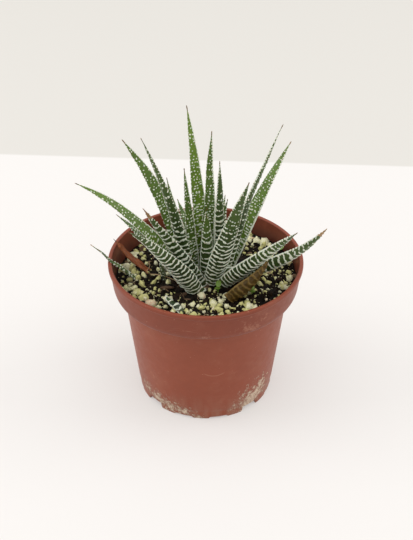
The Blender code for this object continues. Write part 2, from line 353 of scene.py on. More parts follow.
class Sketch:
    """Draws nodes in a node tree, so that a finish reads as a recipe."""

    def __init__(self, tree: bpy.types.NodeTree) -> None:
        """Draws in this tree."""
        self.tree = tree

    def put(self, socket: Socket, value: Value) -> None:
        """Links a socket to another one, or sets its number or colour.

        Args:
            socket: the input.
            value: an output to link it to, or what it is set to. A colour gets an alpha of 1.
        """
        if isinstance(value, Socket):
            self.tree.links.new(value, socket)
        elif isinstance(value, tuple) and len(value) == 3 and socket.type == "RGBA":
            socket.default_value = (*value, 1.0)
        else:
            socket.default_value = value

    def node(self, kind: str, inputs: dict[str | int, Value] | None = None, **settings: object) -> Node:
        """Adds a node.

        Args:
            kind: the node's type name, without ShaderNode.
            inputs: what its inputs are set or linked to, by name or number.
            **settings: its own options.

        Returns:
            The node.
        """
        made = self.tree.nodes.new(f"ShaderNode{kind}")
        for name, value in settings.items():
            setattr(made, name, value)
        for name, value in (inputs or {}).items():
            self.put(made.inputs[name], value)
        return made

    def math(self, operation: str, a: Value, b: Value = 0.0) -> Socket:
        """One sum, product or other operation on two numbers."""
        return self.node("Math", {0: a, 1: b}, operation=operation).outputs[0]

    def product(self, *numbers: Value) -> Socket:
        """The product of two numbers or more."""
        return functools.reduce(lambda a, b: self.math("MULTIPLY", a, b), numbers)

    def measure(self, operation: str, a: Value, b: Value) -> Socket:
        """A number read from two vectors, such as their distance or dot product."""
        return self.node("VectorMath", {0: a, 1: b}, operation=operation).outputs["Value"]

    def coordinate(self, vector: Value, axis: str) -> Socket:
        """One coordinate of a vector: X, Y or Z."""
        return self.node("SeparateXYZ", {0: vector}).outputs[axis]

    def step(self, value: Value, low: float, high: float, out: tuple[float, float] = (0.0, 1.0)) -> Socket:
        """A smooth step of a value from low to high, giving out[0] to out[1]."""
        inputs = {"Value": value, "From Min": low, "From Max": high, "To Min": out[0], "To Max": out[1]}
        return self.node("MapRange", inputs, interpolation_type="SMOOTHSTEP").outputs["Result"]

    def mix(self, share: Value, a: Value, b: Value, blend: str = "MIX") -> Socket:
        """Two colours mixed by a share, or blended another way.

        Args:
            share: 0 for all of a, 1 for all of b.
            a: the first colour.
            b: the second colour.
            blend: how b acts on a.

        Returns:
            The mixed colour.
        """
        made = self.node("Mix", data_type="RGBA", blend_type=blend)
        for name, value in (("Factor_Float", share), ("A_Color", a), ("B_Color", b)):
            socket = next(s for s in made.inputs if s.identifier == name)
            self.put(socket, value)
        return next(s for s in made.outputs if s.identifier == "Result_Color")

    def noise(self, vector: Value, size: float, detail: float = 3.0, rough: float = 0.5) -> Socket:
        """Noise, 0 to 1, whose largest features measure about size metres."""
        return self.scaled_noise(vector, 1 / size, detail, rough)

    def scaled_noise(self, vector: Value, scale: Value, detail: float, rough: float = 0.5) -> Socket:
        """Noise, 0 to 1, with about scale of its largest features to a metre."""
        inputs = {"Vector": vector, "Scale": scale, "Detail": detail, "Roughness": rough}
        return self.node("TexNoise", inputs).outputs["Fac"]

    def centred(self, value: Value, gain: float = 1.0, middle: float = 0.5) -> Socket:
        """How far a number is over its middle, times a gain."""
        return self.math("MULTIPLY", self.math("SUBTRACT", value, middle), gain)

    def stretched(self, vector: Value, x: float, y: float, z: float) -> Socket:
        """A vector with each of its coordinates multiplied."""
        return self.node("Mapping", {"Vector": vector, "Scale": (x, y, z)}).outputs[0]

    def attribute(self, name: str) -> Socket:
        """A named number of the mesh."""
        return self.node("Attribute", attribute_name=name).outputs["Fac"]

    def place(self) -> Socket:
        """The object coordinates, in metres."""
        return self.node("TexCoord").outputs["Object"]


class Effect:
    """A shared effect: a node group with named inputs and one output, built once."""

    def __init__(self, name: str, inputs: dict[str, tuple[str, Value]], output: tuple[str, str]) -> None:
        """Makes the group's sockets.

        Args:
            name: the group's name.
            inputs: each input's socket type and value.
            output: the output's name and socket type.
        """
        self.tree = bpy.data.node_groups.new(name, "ShaderNodeTree")
        for socket, (kind, value) in inputs.items():
            made = self.tree.interface.new_socket(socket, in_out="INPUT", socket_type=f"NodeSocket{kind}")
            if kind == "Float":
                made.default_value = value
        self.output, kind = output
        self.tree.interface.new_socket(self.output, in_out="OUTPUT", socket_type=f"NodeSocket{kind}")
        self.sketch = Sketch(self.tree)
        self.given = self.tree.nodes.new("NodeGroupInput").outputs
        self.result = self.tree.nodes.new("NodeGroupOutput").inputs

    def finish(self, value: Socket) -> "Effect":
        """Sends a value out of the group, which is then whole."""
        self.sketch.put(self.result[self.output], value)
        return self

    def use(self, sketch: Sketch, inputs: dict[str, Value]) -> Socket:
        """Places the group in a material.

        Args:
            sketch: the sketch of the material.
            inputs: what the group's inputs are set or linked to.

        Returns:
            What the group puts out.
        """
        made = sketch.node("Group", node_tree=self.tree)
        for name, value in inputs.items():
            sketch.put(made.inputs[name], value)
        return made.outputs[self.output]


def make_mottle() -> Effect:
    """Uneven colour: a slow and a fast noise move a colour between a darker and a paler one.

    The colour is multiplied by 1 + 2 amount (slow + 0.6 fast), where both noises have their middle
    at 0 and the fast one is seven times finer.

    Returns:
        The effect.
    """
    size, amount = ("Float", 0.02), ("Float", 0.2)
    inputs = {"Vector": ("Vector", 0), "Colour": ("Color", 0), "Size": size, "Amount": amount}
    effect = Effect("mottle", inputs, ("Colour", "Color"))
    s, given = effect.sketch, effect.given
    scale = s.math("DIVIDE", 1.0, given["Size"])
    slow = s.centred(s.scaled_noise(given["Vector"], scale, 4.0))
    fast = s.centred(s.scaled_noise(given["Vector"], s.math("MULTIPLY", scale, 7.0), 3.0), 0.6)
    gain = s.math("ADD", 1.0, s.product(s.math("ADD", slow, fast), 2.0, given["Amount"]))
    grey = s.node("CombineColor", {"Red": gain, "Green": gain, "Blue": gain}).outputs[0]
    return effect.finish(s.mix(1.0, given["Colour"], grey, "MULTIPLY"))


def make_grain() -> Effect:
    """Fine relief: two noises, one four times finer and a third as high, tilt the normal.

    Returns:
        The effect.
    """
    inputs = {"Vector": ("Vector", 0), "Size": ("Float", 0.001), "Height": ("Float", 0.0001)}
    effect = Effect("grain", inputs, ("Normal", "Vector"))
    s, given = effect.sketch, effect.given
    scale = s.math("DIVIDE", 1.0, given["Size"])
    coarse = s.scaled_noise(given["Vector"], scale, 2.0)
    fine = s.scaled_noise(given["Vector"], s.math("MULTIPLY", scale, 4.0), 2.0)
    height = s.math("ADD", coarse, s.math("MULTIPLY", fine, 0.35))
    bump = s.node("Bump", {"Height": height, "Distance": given["Height"], "Strength": 1.0})
    return effect.finish(bump.outputs[0])


def make_patch() -> Effect:
    """A granular patch: ragged noise cut off at a level that rises away from the centre.

    The level at a point is (1 - distance / radius) / 2 + 3 (noise - 0.55) + cover - 0.5. The mask
    is a smooth step of it, times finer grains that fill in where the level is high.

    Returns:
        The effect.
    """
    inputs = {
        "Vector": ("Vector", 0),
        "Centre": ("Vector", 0),
        "Radius": ("Float", 0.01),
        "Grain": ("Float", 0.003),
        "Cover": ("Float", 0.5),
    }
    effect = Effect("patch", inputs, ("Mask", "Float"))
    s, given = effect.sketch, effect.given
    away = s.math("DIVIDE", s.measure("DISTANCE", given["Vector"], given["Centre"]), given["Radius"])
    reach = s.math("MULTIPLY", s.math("SUBTRACT", 1.0, away), 0.50)
    scale = s.math("DIVIDE", 1.0, given["Grain"])
    ragged = s.centred(s.scaled_noise(given["Vector"], scale, 9.0, 0.72), 3.0, middle=0.55)
    level = s.math("ADD", s.math("ADD", reach, ragged), s.centred(given["Cover"]))
    speckle = s.scaled_noise(given["Vector"], s.math("MULTIPLY", scale, 4.0), 3.0)
    grains = s.step(s.math("ADD", speckle, s.math("MULTIPLY", level, 0.25)), 0.40, 0.62, (0.25, 1.0))
    return effect.finish(s.math("MULTIPLY", s.step(level, 0.0, 0.50), grains))


@dataclass(frozen=True)
class Effects:
    """The shared effects, built once for all the finishes."""

    mottle: Effect
    grain: Effect
    patch: Effect

    def mottled(self, s: Sketch, place: Socket, colour: Value, size: float, amount: float) -> Socket:
        """A colour made uneven, in patches of about size metres."""
        return self.mottle.use(s, {"Vector": place, "Colour": colour, "Size": size, "Amount": amount})

    def grained(self, s: Sketch, place: Socket, size: float, height: float) -> Socket:
        """A normal tilted by grain of about size metres, height metres deep."""
        return self.grain.use(s, {"Vector": place, "Size": size, "Height": height})


def new_material(name: str, settings: dict[str, float]) -> tuple[Material, Sketch, Node]:
    """A material with a Principled shader.

    Args:
        name: the material's name.
        settings: numbers for the shader's own sockets.

    Returns:
        The material, a sketch of its tree, and the shader.
    """
    material = bpy.data.materials.new(name)
    material.use_nodes = True
    shader = material.node_tree.nodes["Principled BSDF"]
    for socket, value in settings.items():
        shader.inputs[socket].default_value = value
    return material, Sketch(material.node_tree), shader


# ---------------- finishes


@dataclass(frozen=True)
class LeafSkin:
    """The skin of a leaf: green flesh, white tubercles, and tips and patches that have dried.

    It reads these numbers from the mesh: back is 1 on the leaf's outer face, along is the share of
    its length, wart is the height field of the tubercles, dry is how dead the flesh is, brown and
    rust are what colour the dead flesh has, and sun is how much painted light the green has.
    """

    # inner and outer are the greens of a shaded leaf; inner_sunny and outer_sunny are painted lit copies of
    # them, mixed in by sun
    inner: Colour = (0.042, 0.080, 0.009)
    inner_sunny: Colour = (0.108, 0.185, 0.015)
    outer: Colour = (0.011, 0.022, 0.005)
    outer_sunny: Colour = (0.055, 0.100, 0.018)
    base: Colour = (0.150, 0.190, 0.070)
    wart: Colour = (0.590, 0.620, 0.510)
    old_wart: Colour = (0.185, 0.118, 0.026)
    tan: Colour = (0.400, 0.250, 0.130)
    brown: Colour = (0.066, 0.036, 0.004)
    rust: Colour = (0.230, 0.054, 0.010)
    char: Colour = (0.010, 0.007, 0.005)
    roughness: float = 0.40
    grain: float = 0.0006
    grain_height: float = 0.00003

    def green(self, s: Sketch, effects: Effects, place: Socket, along: Socket) -> Socket:
        """The living flesh.

        The outer face is darker, and turns to the green of the inner one up the leaf, so that its lower
        part carries painted shade. sun moves both faces from a shaded green to a painted lit one. Both
        are paler at the base.

        Args:
            s: the sketch of the material.
            effects: the shared effects.
            place: the object coordinates.
            along: the share of the leaf's length.

        Returns:
            The colour.
        """
        back, sun = s.attribute("back"), s.attribute("sun")
        # painted light: sun moves each face from its shaded green to a painted lit green
        inner = s.mix(sun, self.inner, self.inner_sunny)
        outer = s.mix(sun, self.outer, self.outer_sunny)
        # painted shade: the outer face is kept darker low on the leaf, and turns paler up it
        upper = s.mix(s.step(along, 0.30, 0.75, (0.0, 0.6)), outer, inner)
        green = effects.mottled(s, place, s.mix(back, inner, upper), 0.006, 0.35)
        return s.mix(s.math("MULTIPLY", s.step(along, 0.22, 0.0), 0.20), green, self.base)

    def husk(self, s: Sketch, effects: Effects, place: Socket, along: Socket) -> Socket:
        """The dead flesh: tan, brown or rusty, with a charred tip where it is rusty.

        Args:
            s: the sketch of the material.
            effects: the shared effects.
            place: the object coordinates.
            along: the share of the leaf's length.

        Returns:
            The colour.
        """
        husk = s.mix(s.attribute("rust"), s.mix(s.attribute("brown"), self.tan, self.brown), self.rust)
        charred = s.math("MULTIPLY", s.step(along, 0.86, 0.95), s.attribute("rust"))
        return effects.mottled(s, place, s.mix(charred, husk, self.char), 0.003, 0.6)

    def material(self, effects: Effects) -> Material:
        """Draws the skin.

        Args:
            effects: the shared effects.

        Returns:
            The material.
        """
        fixed = {"Subsurface Weight": 0.06, "Subsurface Scale": 0.002, "IOR": 1.42}
        material, s, shader = new_material("leaf_skin", fixed)
        place, along = s.place(), s.attribute("along")
        ragged = s.centred(s.noise(place, 0.0015), 0.5)
        dead = s.step(s.math("ADD", s.attribute("dry"), ragged), 0.35, 0.65)
        husk = self.husk(s, effects, place, along)
        flesh = s.mix(dead, self.green(s, effects, place, along), husk)
        mask = s.step(s.attribute("wart"), 0.22, 0.42)
        aged_wart = s.mix(dead, self.wart, s.mix(0.35, self.old_wart, husk))
        s.put(shader.inputs["Base Color"], s.mix(mask, flesh, aged_wart))
        matt = s.math("ADD", s.math("MULTIPLY", mask, 0.18), s.math("MULTIPLY", dead, 0.12))
        s.put(shader.inputs["Roughness"], s.math("ADD", matt, self.roughness))
        s.put(shader.inputs["Normal"], effects.grained(s, place, self.grain, self.grain_height))
        return material


@dataclass(frozen=True)
class Spot:
    """One place that a patchy effect covers.

    Attributes:
        centre: its middle, in metres.
        radius: how far it reaches, in metres.
        grain: the size of its largest grains, in metres.
        cover: how full it is, from 0 to 1.
    """

    centre: tuple[float, float, float]
    radius: float
    grain: float
    cover: float


LIMESCALE = (
    Spot((0.0315, -0.0245, 0.0140), 0.0090, 0.0030, 0.52),
    Spot((0.0275, -0.0270, 0.0090), 0.0090, 0.0030, 0.70),
    Spot((0.0215, -0.0310, 0.0060), 0.0080, 0.0028, 0.62),
    Spot((-0.0320, -0.0205, 0.0090), 0.0055, 0.0024, 0.56),
    Spot((-0.0265, -0.0265, 0.0070), 0.0055, 0.0024, 0.68),
    Spot((-0.0200, -0.0320, 0.0050), 0.0060, 0.0022, 0.64),
    Spot((-0.0120, -0.0350, 0.0030), 0.0055, 0.0020, 0.60),
    Spot((-0.0050, -0.0370, 0.0015), 0.0045, 0.0018, 0.48),
    Spot((0.0280, 0.0250, 0.0060), 0.0100, 0.0030, 0.50),
    Spot((-0.0200, 0.0320, 0.0080), 0.0110, 0.0030, 0.50),
)

SCUFFS = (
    Spot((-0.0010, -0.0496, 0.0672), 0.0050, 0.0024, 0.46),
    Spot((0.0225, -0.0445, 0.0695), 0.0075, 0.0026, 0.52),
    Spot((0.0300, -0.0400, 0.0750), 0.0040, 0.0020, 0.46),
    Spot((-0.0290, -0.0290, 0.0230), 0.0060, 0.0030, 0.44),
    Spot((0.0400, 0.0290, 0.0680), 0.0100, 0.0030, 0.52),
)


@dataclass(frozen=True)
class PotPlastic:
    """Moulded terracotta-coloured plastic: hazed, scuffed, scratched, dirty at its foot, and darkened inside
    by dirt and painted shade.

    limescale is the cream crust round the foot, thickest at the front right. scuffs are pale
    rubbed places: small ones along the bottom of the collar, and one low on the left.
    """

    clay: Colour = (0.243, 0.056, 0.026)
    # the collar's colour is the body's clay made darker: painted shade, as the collar is the same plastic
    collar: Colour = (0.197, 0.043, 0.020)
    chalk: Colour = (0.430, 0.210, 0.135)
    lime: Colour = (0.640, 0.530, 0.400)
    silt: Colour = (0.330, 0.205, 0.140)
    # the dark colour of the inner wall: dirt, and painted shade where the wall is shut in
    soot_and_shade: Colour = (0.085, 0.024, 0.014)
    collar_foot: tuple[float, float] = (0.0645, 0.0665)
    soil_line: tuple[float, float] = (0.079, 0.0725)
    silt_reach: tuple[float, float] = (0.020, 0.002)
    limescale: tuple[Spot, ...] = LIMESCALE
    scuffs: tuple[Spot, ...] = SCUFFS
    scratch_centre: tuple[float, float, float] = (0.0045, -0.0400, 0.0425)
    scratch_radius: float = 0.0085
    roughness: float = 0.42
    grain: float = 0.0007
    grain_height: float = 0.000018
    crust_height: float = 0.0003

    def material(self, effects: Effects) -> Material:
        """Draws the plastic.

        Args:
            effects: the shared effects.

        Returns:
            The material.
        """
        material, s, shader = new_material("pot_plastic", {"IOR": 1.46, "Specular IOR Level": 0.32})
        place = s.place()
        height = s.coordinate(place, "Z")
        # painted shade: above collar_foot the clay is painted darker
        clay = s.mix(s.step(height, *self.collar_foot), self.clay, self.collar)
        colour = effects.mottled(s, place, clay, 0.022, 0.10)
        haze = s.step(s.noise(place, 0.016, 6.0, 0.6), 0.54, 0.76, (0.0, 0.14))
        flow = s.noise(s.stretched(place, 1, 1, 0.12), 0.004, 3.0)
        film = s.product(s.step(height, *self.silt_reach), 0.42, s.step(flow, 0.30, 0.75))
        scuffed = s.math("MULTIPLY", self.most_of(s, effects, place, self.scuffs), 0.38)
        crust = s.math("MULTIPLY", self.most_of(s, effects, place, self.limescale), 0.80)
        scratched = s.math("MULTIPLY", self.scratches(s, place), 0.30)
        speck = s.step(s.noise(place, 0.0011, 1.0), 0.765, 0.80, (0.0, 0.7))
        # painted shade and dirt on the inner wall, darkest near the mix
        dirt_and_shade = self.soiled_and_shaded(s, place, height, flow)
        layers = (
            (haze, self.chalk), (film, self.silt), (scuffed, self.chalk), (crust, self.lime),
            (scratched, self.chalk), (speck, self.chalk), (dirt_and_shade, self.soot_and_shade),
        )
        for mask, paint in layers:
            colour = s.mix(mask, colour, paint)
        s.put(shader.inputs["Base Color"], colour)
        rough = s.math("ADD", s.math("MULTIPLY", crust, 0.35), s.math("MULTIPLY", haze, 0.5))
        rough = s.math("ADD", rough, s.step(s.noise(place, 0.003), 0.3, 0.7, (-0.03, 0.05)))
        s.put(shader.inputs["Roughness"], s.math("ADD", rough, self.roughness))
        grain = effects.grained(s, place, self.grain, self.grain_height)
        crusted = s.node("Bump", {"Height": crust, "Distance": self.crust_height, "Normal": grain})
        s.put(shader.inputs["Normal"], crusted.outputs[0])
        return material

    def soiled_and_shaded(self, s: Sketch, place: Socket, height: Socket, flow: Socket) -> Socket:
        """Dirt and painted shade on the inner wall, which faces the axis: streaky, and thicker near the mix.

        Args:
            s: the sketch of the material.
            place: the object coordinates.
            height: the height over the table.
            flow: noise drawn out up the wall.

        Returns:
            The mask, from 0 to 1.
        """
        normal = s.node("NewGeometry").outputs["Normal"]
        facing_axis = s.step(s.measure("DOT_PRODUCT", place, normal), -0.01, -0.03)
        upright = s.step(s.coordinate(normal, "Z"), 0.7, 0.4)
        near_mix = s.step(height, *self.soil_line, (0.45, 1.0))
        return s.product(near_mix, facing_axis, upright, s.step(flow, 0.15, 0.55))

    def most_of(self, s: Sketch, effects: Effects, place: Socket, spots: tuple[Spot, ...]) -> Value:
        """The most of several patches.

        Args:
            s: the sketch of the material.
            effects: the shared effects.
            place: the object coordinates.
            spots: the patches.

        Returns:
            The mask, from 0 to 1.
        """
        total = 0.0
        for spot in spots:
            values = {"Centre": spot.centre, "Radius": spot.radius, "Grain": spot.grain, "Cover": spot.cover}
            total = s.math("MAXIMUM", total, effects.patch.use(s, {"Vector": place, **values}))
        return total

    def scratches(self, s: Sketch, place: Socket) -> Socket:
        """One curved scratch on the front, and sparse fine ones drawn by thin bands of noise.

        The curved one is the lower part of the line where a ball about its centre meets the wall.

        Args:
            s: the sketch of the material.
            place: the object coordinates.

        Returns:
            The mask, from 0 to 1.
        """
        away = s.measure("DISTANCE", place, self.scratch_centre)
        line = s.step(s.math("ABSOLUTE", s.math("SUBTRACT", away, self.scratch_radius)), 0.00045, 0.00015)
        curved = s.math("MULTIPLY", line, s.step(s.coordinate(place, "Z"), 0.0365, 0.0350))
        thin = s.noise(s.stretched(place, 1, 1, 2.6), 0.021, 1.0)
        hair = s.step(s.math("ABSOLUTE", s.centred(thin)), 0.0028, 0.0012)
        some = s.step(s.noise(place, 0.017, 1.0), 0.58, 0.66)
        return s.math("MAXIMUM", curved, s.product(hair, some, 0.7))


@dataclass(frozen=True)
class Peat:
    """Dark, crumbly peat, damp enough to shine a little in places."""

    dark: Colour = (0.0042, 0.0023, 0.0010)
    pale: Colour = (0.0270, 0.0135, 0.0060)
    roughness: float = 0.82
    grain: float = 0.0007
    grain_height: float = 0.00035

    def material(self, effects: Effects) -> Material:
        """Draws the peat; tone moves it from dark to pale.

        Args:
            effects: the shared effects.

        Returns:
            The material.
        """
        material, s, shader = new_material("peat", {"Specular IOR Level": 0.15})
        place = s.place()
        tone = s.math("ADD", s.attribute("tone"), s.centred(s.noise(place, 0.0016, 5.0, 0.6)))
        s.put(shader.inputs["Base Color"], s.mix(s.step(tone, 0.1, 0.9), self.dark, self.pale))
        damp_to_dry = (self.roughness - 0.18, self.roughness + 0.1)
        s.put(shader.inputs["Roughness"], s.step(s.noise(place, 0.002), 0.3, 0.7, damp_to_dry))
        s.put(shader.inputs["Normal"], effects.grained(s, place, self.grain, self.grain_height))
        return material


@dataclass(frozen=True)
class Grit:
    """Pumice and perlite grit, tinged yellow-green by algae, some of it cream or pink."""

    algae: Colour = (0.520, 0.500, 0.205)
    cream: Colour = (0.700, 0.680, 0.460)
    pink: Colour = (0.580, 0.400, 0.270)
    # this colour serves real dirt patches, and the painted shade in the hollows of the pits
    dirt_and_shade: Colour = (0.090, 0.065, 0.030)
    roughness: float = 0.8
    pit_size: float = 0.0007
    pit_depth: float = 0.00025

    def material(self) -> Material:
        """Draws the grit; tone moves each grain from green through cream to pink.

        Returns:
            The material.
        """
        fixed = {"Specular IOR Level": 0.3, "Roughness": self.roughness}
        material, s, shader = new_material("grit", fixed)
        place = s.place()
        moved = s.math("ADD", s.attribute("tone"), s.centred(s.noise(place, 0.0014, 4.0), 0.7))
        colour = s.mix(s.step(moved, 0.30, 0.62), self.algae, self.cream)
        colour = s.mix(s.step(moved, 0.80, 1.05), colour, self.pink)
        dirty = s.step(s.noise(place, 0.0022, 5.0, 0.65), 0.56, 0.70, (0.0, 0.75))
        colour = s.mix(dirty, colour, self.dirt_and_shade)
        pits = s.noise(place, self.pit_size, 3.0, 0.6)
        # painted shade: the hollows of the pits are painted darker
        colour = s.mix(s.step(pits, 0.42, 0.30, (0.0, 0.5)), colour, self.dirt_and_shade)
        s.put(shader.inputs["Base Color"], colour)
        bump = s.node("Bump", {"Height": pits, "Distance": self.pit_depth, "Strength": 0.8})
        s.put(shader.inputs["Normal"], bump.outputs[0])
        return material


@dataclass(frozen=True)
class Fibre:
    """Dry roots, fibres and bark: streaked brown, from dark to straw."""

    dark: Colour = (0.055, 0.024, 0.012)
    straw: Colour = (0.420, 0.290, 0.160)
    roughness: float = 0.75
    grain: float = 0.0005
    grain_height: float = 0.0002

    def material(self, effects: Effects) -> Material:
        """Draws the fibre; tone moves it from dark to straw.

        Args:
            effects: the shared effects.

        Returns:
            The material.
        """
        fixed = {"Specular IOR Level": 0.3, "Roughness": self.roughness}
        material, s, shader = new_material("fibre", fixed)
        place = s.place()
        colour = s.mix(s.attribute("tone"), self.dark, self.straw)
        s.put(shader.inputs["Base Color"], effects.mottled(s, place, colour, 0.0025, 0.6))
        s.put(shader.inputs["Normal"], effects.grained(s, place, self.grain, self.grain_height))
        return material


@dataclass(frozen=True)
class Sprout:
    """Bright green seedling leaves."""

    green: Colour = (0.118, 0.210, 0.018)
    roughness: float = 0.4

    def material(self, effects: Effects) -> Material:
        """Draws the seedlings' skin.

        Args:
            effects: the shared effects.

        Returns:
            The material.
        """
        material, s, shader = new_material("sprout", {"Subsurface Weight": 0.1, "Subsurface Scale": 0.001})
        place = s.place()
        s.put(shader.inputs["Base Color"], effects.mottled(s, place, self.green, 0.002, 0.3))
        sheen_to_matt = (self.roughness - 0.05, self.roughness + 0.1)
        s.put(shader.inputs["Roughness"], s.step(s.noise(place, 0.001), 0.3, 0.7, sheen_to_matt))
        return material


@dataclass(frozen=True)
class CrownFlesh:
    """The short stem in the heart of the rosette: pale green flesh, brown where old leaves were."""

    flesh: Colour = (0.150, 0.180, 0.070)
    scar: Colour = (0.060, 0.045, 0.020)
    roughness: float = 0.55
    grain: float = 0.0008
    grain_height: float = 0.0001

    def material(self, effects: Effects) -> Material:
        """Draws the flesh.

        Args:
            effects: the shared effects.

        Returns:
            The material.
        """
        fixed = {"Subsurface Weight": 0.05, "Roughness": self.roughness}
        material, s, shader = new_material("crown_flesh", fixed)
        place = s.place()
        scarred = s.step(s.noise(place, 0.002, 4.0), 0.4, 0.6)
        s.put(shader.inputs["Base Color"], s.mix(scarred, self.flesh, self.scar))
        s.put(shader.inputs["Normal"], effects.grained(s, place, self.grain, self.grain_height))
        return material


# ---------------- the pot


@dataclass
class Pot:
    """The nursery pot: one thin moulding with a lip, a collar, a notched foot ring and drain holes.

    Lengths are in metres, and the same as the frame's.
    """

    height: float = 82 * MM
    rim_radius: float = 52.5 * MM
    wall: float = 1.2 * MM
    collar_height: float = 16 * MM
    foot_height: float = 6 * MM
    floor_underside: float = 3.4 * MM
    floor_thickness: float = 1.6 * MM
    boss_radius: float = 6 * MM
    notch_count: int = 12
    notch_phase: float = 41.0
    deep_every: int = 3
    notch_width: float = 10 * MM
    deep_notch: float = 3.0 * MM
    shallow_notch: float = 0.9 * MM
    hole_count: int = 6
    hole_radius: float = 4 * MM
    sides: int = 480
    round_points: int = 6
    pole_radius: float = 0.4 * MM
    crease: float = 50.0

    def __post_init__(self) -> None:
        """Works out the sizes that follow from the driving ones."""
        self.lip_proud = 0.7 * self.wall
        self.lip_foot = self.height - 0.026 * self.height
        self.collar_foot = self.height - self.collar_height
        self.body_top = self.collar_foot - 2.5 * MM
        self.collar_foot_radius = 0.945 * self.rim_radius
        self.body_top_radius = self.collar_foot_radius - 4.0 * self.wall
        self.body_foot_radius = 0.724 * self.rim_radius
        self.foot_radius = self.body_foot_radius - 0.7 * self.wall

    def inner_radius(self, height: Array) -> Array:
        """The inner wall's radius at a height: straight up the body, then out under the collar.

        Args:
            height: heights over the table.

        Returns:
            The radius at each height.
        """
        heights = (self.foot_height, self.body_top, self.collar_foot, self.height)
        collar_top_radius = self.rim_radius - self.lip_proud
        radii = (self.body_foot_radius, self.body_top_radius, self.collar_foot_radius, collar_top_radius)
        return np.interp(height, heights, radii) - self.wall

    def corners(self) -> list[tuple[float, float, float]]:
        """The section's corners, from the underside round the wall to the floor.

        Returns:
            Each corner's radius and height in metres, and its fillet in millimetres.
        """
        foot, collar = self.foot_radius, self.collar_foot_radius
        floor_top = self.floor_underside + self.floor_thickness
        outer = [
            (self.boss_radius, 0.0, 0.5),
            (self.boss_radius + 0.3 * MM, self.floor_underside, 0.6),
            (foot - 1.4 * self.wall, self.floor_underside, 0.5),
            (foot - 1.2 * self.wall, 0.0, 0.4),
            (foot, 0.0, 0.5),
            (foot + 0.3 * MM, self.foot_height - 1.0 * MM, 0.8),
            (self.body_foot_radius, self.foot_height + 0.8 * MM, 1.2),
            (self.body_top_radius, self.body_top, 2.0),
            (collar - 0.4 * MM, self.collar_foot - 0.6 * MM, 1.2),
            (collar + 0.5 * MM, self.collar_foot + 1.5 * MM, 1.6),
            (self.rim_radius - self.lip_proud, self.lip_foot - 0.5 * MM, 0.5),
            (self.rim_radius, self.lip_foot, 0.4),
            (self.rim_radius, self.height, 0.75),
            (self.rim_radius - self.lip_proud - self.wall, self.height, 0.6),
        ]
        inner = [(float(self.inner_radius(z)), z, 1.2) for z in (self.collar_foot, self.body_top)]
        bottom = (float(self.inner_radius(self.foot_height + 1.0 * MM)), self.foot_height + 1.0 * MM, 1.0)
        return outer + inner + [bottom, (self.body_foot_radius - self.wall - 1.5 * MM, floor_top, 1.0)]

    def profile(self) -> Array:
        """The section with each corner replaced by a round of its fillet, and points along the straights.

        Where the fillet starts and ends, t from the corner, a quadratic curve takes the corner away:
        (1-u)^2 start + 2u(1-u) corner + u^2 end.

        Returns:
            Points (radius, height) from the underside's middle to the floor's middle.
        """
        corners = self.corners()
        underside = (self.pole_radius, 0.0)
        floor = (self.pole_radius, self.floor_underside + self.floor_thickness)
        knots = np.array([underside] + [corner[:2] for corner in corners] + [floor])
        u = np.linspace(0, 1, self.round_points)[:, None]
        line = [knots[:1]]
        for i, (_, _, fillet) in enumerate(corners, start=1):
            before, corner, after = knots[i - 1], knots[i], knots[i + 1]
            arms = []
            for other in (before, after):
                length = np.linalg.norm(other - corner)
                arms.append(corner + (other - corner) / length * min(fillet * MM, 0.45 * length))
            curve = (1 - u) ** 2 * arms[0] + 2 * u * (1 - u) * corner + u**2 * arms[1]
            line.append(self.straight(line[-1][-1], curve[0]))
            line.append(curve)
        line.append(self.straight(line[-1][-1], knots[-1]))
        line.append(knots[-1:])
        return np.concatenate(line)

    def straight(self, start: Array, end: Array, step: float = 2.5 * MM) -> Array:
        """Points on the line between two others.

        Args:
            start: the first of the two.
            end: the other.
            step: how far apart the points are, at most.

        Returns:
            The points, without the two.
        """
        count = int(np.linalg.norm(end - start) / step)
        share = np.linspace(0, 1, count + 2)[1:-1, None]
        return start + share * (end - start)

    def notch_depth(self, around: Array) -> Array:
        """How far the foot ring is cut up at an angle: the deepest notch there, with soft ends.

        Args:
            around: angles about the axis.

        Returns:
            The depth at each angle.
        """
        deepest = np.zeros_like(around)
        for i in range(self.notch_count):
            middle = math.radians(self.notch_phase + i * 360 / self.notch_count)
            depth = self.deep_notch if i % self.deep_every == 0 else self.shallow_notch
            away = np.abs((around - middle + math.pi) % FULL_TURN - math.pi) * self.foot_radius
            end = self.notch_width / 2
            deepest = np.maximum(deepest, depth * ease(away, end + 0.5 * MM, end - 0.5 * MM))
        return deepest

    def surface(self) -> Surface:
        """The profile turned about the axis.

        The foot ring is squeezed up over each notch: a height z below the ring's top h becomes
        d + z (h - d) / h, for a notch of depth d. The wall is out of round by a tenth of a
        millimetre or two, as thin plastic is.

        Returns:
            The pot, before its drain holes.
        """
        profile = self.profile()
        around = np.linspace(0, FULL_TURN, self.sides, endpoint=False)[None]
        radius, height = profile[:, :1] + 0 * around, profile[:, 1:] + 0 * around
        on_outside = radius > self.foot_radius - 0.6 * self.wall
        ring_top = np.where(on_outside, self.foot_height, self.floor_underside)
        ring = (radius > self.foot_radius - 1.6 * self.wall) & (height < ring_top)
        ring &= np.arange(len(profile))[:, None] < len(profile) // 2
        depth = self.notch_depth(around)
        height = np.where(ring, depth + height * (ring_top - depth) / ring_top, height)
        out_of_round = 0.12 * MM * np.cos(2 * around + 0.7) + 0.06 * MM * np.cos(5 * around)
        radius = radius + out_of_round * ease(height, 0.0, self.height) * (radius > self.boss_radius * 1.2)
        grid = np.stack([radius * np.cos(around), radius * np.sin(around), height], axis=-1)
        return Surface.tube(grid)

